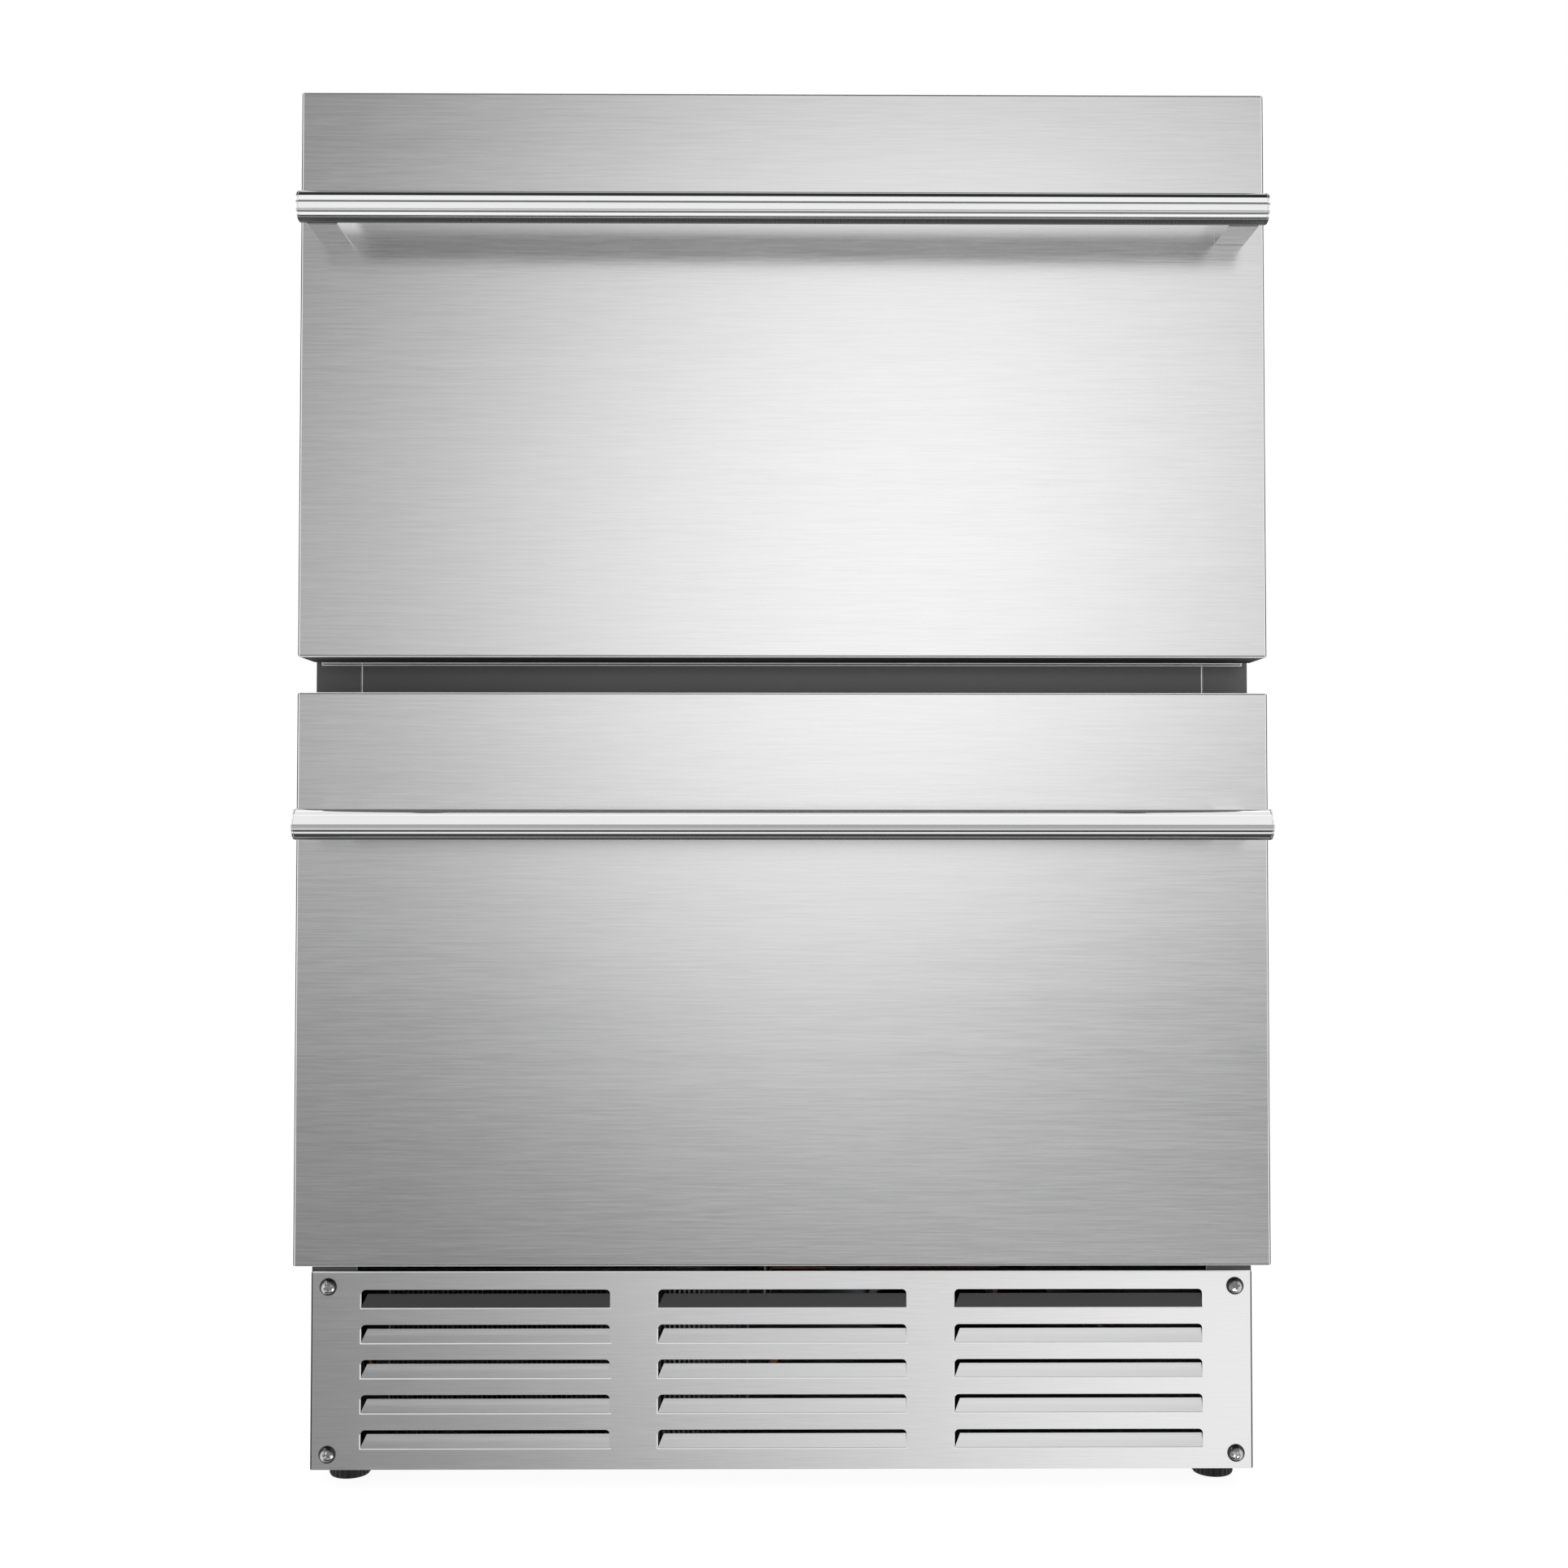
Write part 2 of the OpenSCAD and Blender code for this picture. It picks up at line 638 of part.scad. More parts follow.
module compressor() {
    color(black) {
        translate([compressor_pos[0], compressor_pos[1], compressor_z])
            rotate_extrude() difference() {
                union() {
                    square([compressor_r, compressor_h - compressor_rim_r]);
                    square([compressor_r - compressor_rim_r, compressor_h]);
                    translate([compressor_r - compressor_rim_r, compressor_h - compressor_rim_r])
                        circle(compressor_rim_r);
                }
                translate([-compressor_r, 0]) square([compressor_r, compressor_h]);
            }
        difference() {
            translate([compressor_pos[0], compressor_pos[1], compressor_z])
                block([-foot_plate[0] / 2, -foot_plate[1] / 2, 0],
                      [foot_plate[0] / 2, foot_plate[1] / 2, foot_plate[2]]);
            for (c = mount_centres())
                translate([c[0], c[1], compressor_z - cut])
                    cylinder(r = 5 + seat, h = foot_plate[2] + 2 * cut);
        }
    }
}

module compressor_mounts() {
    color(dark_grey) for (c = mount_centres()) translate([c[0], c[1], base_top_z + seat]) {
        cylinder(r = 9, h = mount_h);
        cylinder(r = 5, h = mount_h + foot_plate[2] + 3 * seat);
        translate([0, 0, mount_h + foot_plate[2] + 2 * seat]) cylinder(r = 7.5, h = 2);
    }
}

module compressor_cover() {
    size = [34, 46, 48];
    color(dark_grey) difference() {
        translate([compressor_pos[0] - compressor_r - size[0] * 0.55, compressor_pos[1] - size[1] / 2,
                   compressor_z + 25])
            cube(size);
        translate([compressor_pos[0], compressor_pos[1], compressor_z])
            cylinder(r = compressor_r + 2 * seat, h = compressor_h);
    }
}

// Finned coil with a plate and return bends at each end.
module coil(l, d, h, stand) {
    rows = floor((h - 8) / tube_pitch / 2);
    color(aluminium) {
        cube([l, d, h]);
        for (x = [-coil_plate_t, l]) translate([x, 0, -stand]) cube([coil_plate_t, d, h + stand]);
    }
    color(copper) for (side = [0, 1], i = [0:rows - 1])
        translate([side * l, d / 2, h / 2 + (i * 2 - rows + 1) * tube_pitch]) rotate([90, side * 180, 0])
            coil_bend();
}

// Half-circle return bend with short legs, opening towards +X.
module coil_bend() {
    leg = 6;
    translate([-leg, 0, 0]) rotate([0, 0, 90]) rotate_extrude(angle = 180)
        translate([coil_bend_r, 0]) circle(tube_r);
    for (y = [-coil_bend_r, coil_bend_r]) translate([-leg, y, 0]) bar_x(tube_r, leg + 1);
}

module condenser() {
    stand = condenser_pos[2] - base_top_z - seat;
    translate(condenser_pos) coil(condenser_l, condenser_d, condenser_h, stand);
}

// Square fan frame with a motor held on four struts, blowing along Y.
module fan_frame(side) {
    bore_r = side / 2 - 4;
    motor_l = fan_d * 0.4;
    color(black) {
        difference() {
            translate([-side / 2, 0, -side / 2]) cube([side, fan_d, side]);
            translate([0, -cut, 0]) bar_back(bore_r, fan_d + 2 * cut);
        }
        translate([0, fan_d - motor_l, 0]) bar_back(bore_r * hub_r_ratio, motor_l);
        translate([0, fan_d * 0.2, 0]) bar_back(shaft_r, fan_d * 0.6);
        for (i = [0:3]) rotate([0, 45 + 90 * i, 0])
            translate([0, fan_d - 3, -2]) cube([bore_r + 2, 3, 4]);
    }
}

// Hub and pitched blades that turn on the motor's shaft.
module fan_rotor(side) {
    tip_r = side / 2 - 6;
    hub_r = (side / 2 - 4) * hub_r_ratio;
    hub_l = fan_d * 0.45;
    color(dark_grey) difference() {
        union() {
            translate([0, fan_d * 0.1, 0]) bar_back(hub_r, hub_l);
            intersection() {
                translate([0, fan_d * 0.1, 0]) bar_back(tip_r, hub_l);
                for (i = [0:fan_blades - 1]) rotate([0, i * 360 / fan_blades, 0])
                    translate([0, fan_d * 0.1 + hub_l / 2, 0]) rotate([32, 0, 0])
                        translate([0, -0.8, -side / 7]) cube([tip_r + cut, 1.6, side / 3.5]);
            }
        }
        translate([0, fan_d * 0.2 - 2 * fit, 0]) bar_back(shaft_r + fit, fan_d);
    }
}

module condenser_fan_frame() translate(condenser_fan_pos) fan_frame(condenser_fan_side);
module condenser_fan_rotor() translate(condenser_fan_pos) fan_rotor(condenser_fan_side);

module drip_tray() {
    color(dark_grey) translate([tray_pos[0], tray_pos[1], base_top_z + seat]) difference() {
        cube(tray);
        translate([tray_t, tray_t, tray_t]) cube([tray[0] - 2 * tray_t, tray[1] - 2 * tray_t, tray[2]]);
    }
}

module drain_tube() {
    wall = drain_r / 4;
    funnel_h = drain_r * 0.75;
    bottom = base_top_z + tray[2] + drain_r / 2;
    color(dark_grey) translate([drain_pos[0], drain_pos[1], 0]) difference() {
        union() {
            translate([0, 0, bottom]) cylinder(r = drain_r, h = room_floor_z + funnel_h / 2 - bottom);
            translate([0, 0, room_floor_z + seat])
                cylinder(r1 = drain_r * 1.5, r2 = drain_r * 1.9, h = funnel_h);
        }
        translate([0, 0, bottom - cut]) cylinder(r = drain_r - wall, h = room_floor_z + 2 * funnel_h);
        translate([0, 0, room_floor_z + seat + wall])
            cylinder(r1 = drain_r - wall, r2 = drain_r * 1.75, h = funnel_h);
    }
}

// A line of round tube through the points of a path, with a brazed joint at each turn.
module line_path(points, r) {
    joint_r = r * 1.25;
    for (i = [0:len(points) - 2]) {
        a = points[i];
        b = points[i + 1];
        step = b - a;
        l = norm(step);
        turn = [acos(step[2] / l), atan2(step[1], step[0])];
        translate(a) rotate([0, turn[0], turn[1]]) cylinder(r = r, h = l);
        if (i > 0) translate(a) sphere(joint_r);
    }
}

module refrigerant_lines() {
    gap = 2 * seat;
    coil_x = condenser_pos[0] + condenser_l + coil_plate_t + gap;
    coil_y = condenser_pos[1] + 6;
    low_z = condenser_pos[2] + 10;
    high_z = condenser_pos[2] + condenser_h - 10;
    comp_y = compressor_pos[1] - compressor_r;
    color(copper) {
        line_path([
            [compressor_pos[0], comp_y - gap, compressor_z + discharge_rise],
            [compressor_pos[0], face_y + discharge_run, compressor_z + discharge_rise],
            [compressor_pos[0], face_y + discharge_run, high_z],
            [coil_x + 3 * tube_r, face_y + discharge_run, high_z],
            [coil_x + 3 * tube_r, coil_y, high_z],
            [coil_x, coil_y, high_z]
        ], line_r);
        line_path([
            [coil_x, coil_y, low_z],
            [drier_pos[0], coil_y, low_z],
            [drier_pos[0], coil_y, drier_pos[2]],
            [drier_pos[0], drier_pos[1] - gap, drier_pos[2]]
        ], line_r);
        line_path([
            [suction_pos[0], suction_pos[1], evaporator_pos[2] + 20],
            [suction_pos[0], suction_pos[1], compressor_z + compressor_h + 8],
            [suction_pos[0], compressor_pos[1], compressor_z + compressor_h + 8],
            [compressor_pos[0] + suction_offset / 2, compressor_pos[1], compressor_z + compressor_h + 8],
            [compressor_pos[0] + suction_offset / 2, compressor_pos[1], compressor_z + compressor_h + gap]
        ], line_r);
    }
}

module filter_drier() {
    neck = 12;
    taper = neck / 2;
    color(copper) translate(drier_pos) rotate([-90, 0, 0]) {
        cylinder(r = line_r, h = drier_l);
        translate([0, 0, neck - taper]) cylinder(r1 = line_r, r2 = drier_r, h = taper);
        translate([0, 0, neck]) cylinder(r = drier_r, h = drier_l - 2 * neck);
        translate([0, 0, drier_l - neck]) cylinder(r1 = drier_r, r2 = line_r, h = taper);
    }
}

module power_inlet() {
    pin = [4, 2];
    color(black) translate([inlet_pos[0], back_y, inlet_pos[1]]) {
        difference() {
            union() {
                translate([-inlet[0] / 2, -inlet_d, -inlet[1] / 2]) cube([inlet[0], inlet_d, inlet[1]]);
                translate([-inlet_flange[0] / 2, -shell_t - seat - 2, -inlet_flange[1] / 2])
                    cube([inlet_flange[0], 2, inlet_flange[1]]);
            }
            translate([-inlet[0] / 2 + 2, -inlet_d + 3, -inlet[1] / 2 + 2])
                cube([inlet[0] - 4, inlet_d, inlet[1] - 4]);
        }
        for (x = [-7, 0, 7])
            translate([x - pin[1] / 2, -inlet_d + 2, (x == 0 ? 2 : -2) - pin[0] / 2])
                cube([pin[1], inlet_d - 5, pin[0]]);
    }
}

// ---- Cold room ----

module evaporator() translate(evaporator_pos) coil(evaporator_l, evaporator_d, evaporator_h, 0);

module evaporator_cover() {
    color(pale_grey) difference() {
        block([-room_half_w + 2 * seat, duct_y, room_floor_z + 2 * seat],
              [room_half_w - 2 * seat, duct_y + duct_t, room_top_z - 2 * seat]);
        translate([evaporator_fan_pos[0], duct_y - cut, evaporator_fan_pos[2]])
            bar_back(evaporator_fan_side / 2 - 5, duct_t + 2 * cut);
        for (x = [-3:3], z = [room_floor_z + 30, mullion_z - 60, mullion_z + mullion_h + 10])
            translate([x * 60 - 22, duct_y - cut, z]) cube([44, duct_t + 2 * cut, 6]);
    }
}

module evaporator_fan_frame() translate(evaporator_fan_pos) fan_frame(evaporator_fan_side);
module evaporator_fan_rotor() translate(evaporator_fan_pos) fan_rotor(evaporator_fan_side);

module control_housing() {
    color(pale_grey) difference() {
        block([-control_w / 2, control_y, control_z - seat],
              [control_w / 2, control_y + control_d, room_top_z - seat]);
        block([-control_w / 2 + control_wall, control_y + control_wall, control_z + control_wall],
              [control_w / 2 - control_wall, control_y + control_d - control_wall, room_top_z]);
        for (x = button_x)
            translate([x, control_y - cut, button_z]) bar_back(button_r + seat, control_wall + 2 * cut);
        translate([window_x - window_w / 2, control_y - cut, button_z - window_h / 2])
            cube([window_w, control_wall + 2 * cut, window_h]);
    }
}

module control_window() {
    color(black) translate([window_x, control_y, button_z]) {
        block([-window_w / 2 + seat, 0, -window_h / 2 + seat],
              [window_w / 2 - seat, control_wall + seat, window_h / 2 - seat]);
        block([-window_w / 2 - 2, control_wall + seat, -window_h / 2 - 2],
              [window_w / 2 + 2, control_wall + seat + 1.5, window_h / 2 + 2]);
    }
}

module control_button(x) {
    color(dark_grey) translate([x, control_y - button_proud, button_z]) {
        bar_back(button_r, button_proud + control_wall + seat + button_flange_t);
        translate([0, button_proud + control_wall + seat, 0]) bar_back(button_flange_r, button_flange_t);
    }
}

module button_power() control_button(button_x[0]);
module button_cooler() control_button(button_x[1]);
module button_warmer() control_button(button_x[2]);

module room_lamp() {
    color(bright_steel)
        translate([-lamp[0] / 2, lamp_y, room_top_z - lamp[2] - seat]) cube(lamp);
}

// ---- Slides ----

// Channel with lips, web towards -X and open towards +X, drawn in the plane across a slide.
module lipped_channel(w, h, lip) {
    translate([0, -h / 2]) square([slide_t, h]);
    for (side = [-1, 1]) {
        translate([0, side * (h / 2 - slide_t / 2) - slide_t / 2]) square([w, slide_t]);
        translate([w - slide_t, side * (h / 2 - slide_t - lip / 2) - lip / 2 - cut * 0.2])
            square([slide_t, lip + cut * 0.4]);
    }
}

// Extrudes a slide's section along Y at the left wall, with the section's X running inwards.
module along_slide(z) {
    translate([-slide_x, slide_y, z]) translate([0, slide_l, 0]) rotate([90, 0, 0])
        linear_extrude(slide_l) children();
}

module rail_left(d) along_slide(slide_z[d]) lipped_channel(slide_w, slide_h, slide_lip);

module mid_left(d) along_slide(slide_z[d]) translate([mid_off, 0]) lipped_channel(mid_w, mid_h, mid_lip);

module runner_left(d) {
    along_slide(slide_z[d]) {
        translate([run_off, -run_h / 2]) square([run_w, run_h]);
        translate([run_off, -neck_h / 2]) square([slide_w + runner_neck - run_off, neck_h]);
    }
}

module slide_rails() {
    color(zinc) both_sides() {
        rail_left(lower);
        rail_left(upper);
    }
}

// ---- Drawers ----

// Front pan folded from sheet, open at the back.
module front_panel(d) {
    z0 = front_z[d];
    z1 = z0 + front_h[d];
    color(steel) difference() {
        block([-half_w, front_y, z0], [half_w, front_y + pan_d, z1]);
        block([-half_w + pan_t, front_y + pan_t, z0 + pan_t],
              [half_w - pan_t, front_y + pan_d + cut, z1 - pan_t]);
        for (x = [-post_x, post_x])
            translate([x, front_y - cut, bar_z[d]]) bar_back(handle_screw_d / 2 + 2 * seat, pan_t + 2 * cut);
    }
}

module front_foam(d) {
    inset = pan_t + seat;
    plug_wall = inner_t + seat;
    color(foam_cream) difference() {
        union() {
            block([-half_w + inset, front_y + inset, front_z[d] + inset],
                  [half_w - inset, front_y + pan_d - plug_wall, front_z[d] + front_h[d] - inset]);
            block([-plug_half_w + plug_wall, front_y + inset, plug_z[d] + plug_wall],
                  [plug_half_w - plug_wall, plug_y - plug_wall, plug_top_z[d] - plug_wall]);
        }
        for (x = [-post_x, post_x])
            translate([x, front_y, bar_z[d]]) bar_back(handle_screw_d + 1, pan_t + handle_screw_d);
    }
}

module inner_panel(d) {
    inset = pan_t + seat;
    color(pale_grey) difference() {
        union() {
            block([-half_w + inset, front_y + pan_d - inner_t, front_z[d] + inset],
                  [half_w - inset, front_y + pan_d, front_z[d] + front_h[d] - inset]);
            block([-plug_half_w, front_y + pan_d - inner_t, plug_z[d]],
                  [plug_half_w, plug_y, plug_top_z[d]]);
        }
        block([-plug_half_w + inner_t, front_y, plug_z[d] + inner_t],
              [plug_half_w - inner_t, plug_y - inner_t, plug_top_z[d] - inner_t]);
    }
}

module gasket(d) {
    y0 = front_y + pan_d + seat;
    y1 = face_y - seat;
    x_out = half_w - gasket_side_inset;
    z0 = front_z[d] + gasket_end_inset;
    z1 = front_z[d] + front_h[d] - gasket_end_inset;
    step = gasket_lip_step;
    w = gasket_w;
    color(gasket_grey) {
        upright_ring(x_out, x_out - w, [z0, z1], [z0 + w, z1 - w], y1 - gasket_lip_t, y1);
        upright_ring(x_out - step, x_out - w + step, [z0 + step, z1 - step],
                     [z0 + w - step, z1 - w + step], y0, y1);
    }
}

module handle_bar(d) {
    color(bright_steel) translate([-bar_l / 2, bar_y, bar_z[d]]) difference() {
        bar_x(bar_d / 2, bar_l);
        translate([-cut, 0, 0]) bar_x(bar_d / 2 - bar_wall, bar_l + 2 * cut);
    }
}

module handle_caps(d) {
    color(bright_steel) both_sides() translate([bar_l / 2, bar_y, bar_z[d]]) {
        translate([fit, 0, 0]) bar_x(bar_d / 2, cap_t);
        translate([-cap_spigot_l, 0, 0]) bar_x(bar_d / 2 - bar_wall - fit, cap_spigot_l + cap_t);
    }
}

module handle_posts(d) {
    cheek = bar_d * 0.22;
    color(bright_steel) both_sides() difference() {
        block([post_x - post_side / 2, bar_y + cheek, bar_z[d] - post_side / 2],
              [post_x + post_side / 2, front_y - fit, bar_z[d] + post_side / 2]);
        translate([post_x - post_side, bar_y, bar_z[d]]) bar_x(bar_d / 2 + fit, 2 * post_side);
        translate([post_x, front_y - handle_screw_grip - cut, bar_z[d]])
            bar_back(handle_screw_d / 2 + fit, handle_screw_grip + 2 * cut);
    }
}

module handle_screws(d) {
    shank_l = handle_screw_grip + pan_t;
    color(zinc) both_sides() translate([post_x, front_y + pan_t + fit, bar_z[d]]) {
        bar_back(handle_screw_d, handle_screw_d * 0.6);
        translate([0, -shank_l, 0]) bar_back(handle_screw_d / 2, shank_l + cut);
    }
}

module bin(d) {
    size = [2 * bin_half_w, bin_d];
    color(pale_grey) translate([-bin_half_w, bin_y, bin_z[d]]) difference() {
        union() {
            linear_extrude(bin_h) rounded_rect(size, bin_corner_r);
            translate([-bin_rim_w, 0, bin_h - bin_t]) linear_extrude(bin_t)
                rounded_rect([size[0] + 2 * bin_rim_w, size[1]], bin_corner_r);
        }
        translate([bin_t, bin_t, bin_t]) linear_extrude(bin_h)
            rounded_rect([size[0] - 2 * bin_t, size[1] - 2 * bin_t], bin_corner_r - bin_t);
    }
}

module drawer_brackets(d) {
    y0 = bracket_y;
    y1 = bin_y + bin_d - 10;
    z0 = bin_z[d] - bracket_t - seat;
    z1 = bin_z[d] + bracket_rise;
    color(zinc) both_sides() {
        block([bracket_x - bracket_t, y0, z0], [bracket_x, y1, z1]);
        block([bracket_x - bracket_lip, y0, z0], [bracket_x, y1, z0 + bracket_t]);
        block([bracket_x - bracket_flange, y0, z0], [bracket_x, y0 + bracket_t, z1]);
    }
}

module slide_runners(d) {
    color(zinc) both_sides() runner_left(d);
}

module slide_mids(d) {
    color(zinc) both_sides() mid_left(d);
}

module upper_front_panel() front_panel(upper);
module upper_front_foam() front_foam(upper);
module upper_inner_panel() inner_panel(upper);
module upper_gasket() gasket(upper);
module upper_handle_bar() handle_bar(upper);
module upper_handle_caps() handle_caps(upper);
module upper_handle_posts() handle_posts(upper);
module upper_handle_screws() handle_screws(upper);
module upper_bin() bin(upper);
module upper_brackets() drawer_brackets(upper);
module upper_slide_runners() slide_runners(upper);
module upper_slide_mids() slide_mids(upper);

module lower_front_panel() front_panel(lower);
module lower_front_foam() front_foam(lower);
module lower_inner_panel() inner_panel(lower);
module lower_gasket() gasket(lower);
module lower_handle_bar() handle_bar(lower);
module lower_handle_caps() handle_caps(lower);
module lower_handle_posts() handle_posts(lower);
module lower_handle_screws() handle_screws(lower);
module lower_bin() bin(lower);
module lower_brackets() drawer_brackets(lower);
module lower_slide_runners() slide_runners(lower);
module lower_slide_mids() slide_mids(lower);

cabinet_shell();
back_panel();
base_pan();
cabinet_foam();
cabinet_liner();
mullion();
deck_panel();
toe_grille();
grille_screws();
foot_front_left();
foot_front_right();
foot_rear_left();
foot_rear_right();
compressor();
compressor_mounts();
compressor_cover();
condenser();
condenser_fan_frame();
condenser_fan_rotor();
drip_tray();
drain_tube();
refrigerant_lines();
filter_drier();
power_inlet();
evaporator();
evaporator_cover();
evaporator_fan_frame();
evaporator_fan_rotor();
control_housing();
control_window();
button_power();
button_cooler();
button_warmer();
room_lamp();
slide_rails();
upper_front_panel();
upper_front_foam();
upper_inner_panel();
upper_gasket();
upper_handle_bar();
upper_handle_caps();
upper_handle_posts();
upper_handle_screws();
upper_bin();
upper_brackets();
upper_slide_runners();
upper_slide_mids();
lower_front_panel();
lower_front_foam();
lower_inner_panel();
lower_gasket();
lower_handle_bar();
lower_handle_caps();
lower_handle_posts();
lower_handle_screws();
lower_bin();
lower_brackets();
lower_slide_runners();
lower_slide_mids();
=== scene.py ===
"""Undercounter refrigerator with two drawers: finishes, dressed pieces, camera and studio."""

import json
import math

import bmesh
import bpy
from mathutils import Matrix, Vector


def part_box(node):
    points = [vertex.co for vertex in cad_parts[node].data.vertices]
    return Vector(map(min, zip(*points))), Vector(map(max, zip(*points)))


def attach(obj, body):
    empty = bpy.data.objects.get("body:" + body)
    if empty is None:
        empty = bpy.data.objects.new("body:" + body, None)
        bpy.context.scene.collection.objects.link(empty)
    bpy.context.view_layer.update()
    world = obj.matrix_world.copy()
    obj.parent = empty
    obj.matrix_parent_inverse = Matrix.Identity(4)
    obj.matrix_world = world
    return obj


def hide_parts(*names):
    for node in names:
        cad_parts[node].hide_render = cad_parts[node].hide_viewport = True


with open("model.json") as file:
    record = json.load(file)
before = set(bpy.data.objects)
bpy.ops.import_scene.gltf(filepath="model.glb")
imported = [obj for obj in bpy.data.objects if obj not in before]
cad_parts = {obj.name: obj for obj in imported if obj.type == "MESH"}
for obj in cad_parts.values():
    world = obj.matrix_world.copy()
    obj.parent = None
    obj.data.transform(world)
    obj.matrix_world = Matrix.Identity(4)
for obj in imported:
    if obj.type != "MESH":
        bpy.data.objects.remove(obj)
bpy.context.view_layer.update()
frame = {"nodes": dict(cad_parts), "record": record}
BODY_OF = {node: body for body, names in frame["record"]["behaviour"]["bodies"].items() for node in names}
SLOT_OF = {entry["node"]: entry["material_slot"] for entry in frame["record"]["subparts"]}
DRAWERS = ("lower", "upper")
FRONT_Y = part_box("upper_front_panel")[0][1]
MM = 0.001
FIT = 0.05 * MM


def grey(level):
    return (level, level, level)


def ends(node):
    """The low and the high corner of a CAD node's box."""
    return (Vector(corner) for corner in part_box(node))


def middle(node):
    low, high = ends(node)
    return (low + high) / 2


# Shader and geometry trees

class Wire:
    """What comes out of one socket. Arithmetic on a value adds Math nodes."""

    def __init__(self, bench, socket):
        self.bench, self.socket = bench, socket

    def __add__(self, other):
        return self.bench.sum("ADD", self, other)

    def __sub__(self, other):
        return self.bench.sum("SUBTRACT", self, other)

    def __rsub__(self, other):
        return self.bench.sum("SUBTRACT", other, self)

    def __mul__(self, other):
        return self.bench.sum("MULTIPLY", self, other)

    def __truediv__(self, other):
        return self.bench.sum("DIVIDE", self, other)

    def __gt__(self, other):
        return self.bench.sum("GREATER_THAN", self, other)

    def __lt__(self, other):
        return self.bench.sum("LESS_THAN", self, other)

    def __abs__(self):
        return self.bench.sum("ABSOLUTE", self)

    def least(self, other):
        return self.bench.sum("MINIMUM", self, other)

    def most(self, other):
        return self.bench.sum("MAXIMUM", self, other)

    __radd__, __rmul__ = __add__, __mul__


class Bench:
    """One node tree under construction."""

    def __init__(self, tree):
        self.tree = tree
        tree.nodes.clear()

    def feed(self, socket, value):
        if isinstance(value, Wire):
            self.tree.links.new(value.socket, socket)
        else:
            socket.default_value = value

    def sum(self, operation, *values):
        return self.add("ShaderNodeMath", {"operation": operation}, dict(enumerate(values)))

    def add(self, kind, settings=None, feeds=None, out=0):
        """One node: its settings first, then its sockets by place, identifier or name."""
        node = self.tree.nodes.new(kind)
        for name, value in (settings or {}).items():
            if name == "stops":
                while len(node.color_ramp.elements) < len(value):
                    node.color_ramp.elements.new(1.0)
                for stop, (place, tone) in zip(node.color_ramp.elements, value):
                    stop.position = place
                    stop.color = tone if isinstance(tone, tuple) else (tone, tone, tone, 1)
            else:
                setattr(node, name, value)
        for name, value in (feeds or {}).items():
            socket = node.inputs[name] if isinstance(name, int) else self.socket(node.inputs, name)
            self.feed(socket, value)
        self.last = node
        if not node.outputs:
            return node
        return Wire(self, node.outputs[out] if isinstance(out, int) else self.socket(node.outputs, out))

    @staticmethod
    def socket(sockets, name):
        return next((s for s in sockets if s.identifier == name), None) or sockets[name]

    def mix(self, amount, under, over):
        return self.add("ShaderNodeMix", {"data_type": "RGBA"}, {
            "Factor_Float": amount, "A_Color": under, "B_Color": over}, "Result_Color")

    def parts(self, vector):
        """The three numbers of a vector."""
        self.add("ShaderNodeSeparateXYZ", feeds={0: vector})
        return [Wire(self, s) for s in self.last.outputs]

    def vector(self, x, y, z):
        return self.add("ShaderNodeCombineXYZ", feeds={0: x, 1: y, 2: z})


class Finish(Bench):
    """One material. Its patterns read Object coordinates, in metres."""

    def __init__(self, name):
        self.material = bpy.data.materials.new(name)
        self.material.use_nodes = True
        super().__init__(self.material.node_tree)
        self.place = self.add("ShaderNodeTexCoord", out="Object")

    def stretched(self, scale):
        return self.add("ShaderNodeMapping", feeds={"Vector": self.place, "Scale": scale})

    def noise(self, scale, detail=3.0, rough=0.5, warp=0.0):
        scale = scale if isinstance(scale, tuple) else (scale,) * 3
        return self.add("ShaderNodeTexNoise", feeds={
            "Vector": self.stretched(scale), "Scale": 1.0, "Detail": detail, "Roughness": rough,
            "Distortion": warp})

    def cells(self, scale, out="Distance", feature="F1"):
        return self.add("ShaderNodeTexVoronoi", {"feature": feature},
                        {"Vector": self.place, "Scale": scale}, out)

    def steps(self, value, stops):
        return self.add("ShaderNodeValToRGB", {"stops": stops}, {0: value})

    def tone(self, amount, under, over):
        """A mix of two colours or colour wires: the second shows where amount is 1."""
        return self.mix(amount, *(c if isinstance(c, Wire) else (*c, 1) for c in (under, over)))

    def surface(self, colour, rough, metal=0.0, relief=None, depth=0.0, strength=1.0, **plain):
        feeds = {"Base Color": colour, "Roughness": rough, "Metallic": metal}
        feeds.update({name.replace("_", " "): value for name, value in plain.items()})
        if relief is not None:
            feeds["Normal"] = self.add("ShaderNodeBump", feeds={
                "Height": relief, "Distance": depth, "Strength": strength})
        shader = self.add("ShaderNodeBsdfPrincipled", feeds=feeds)
        self.add("ShaderNodeOutputMaterial", feeds={"Surface": shader})
        return self.material


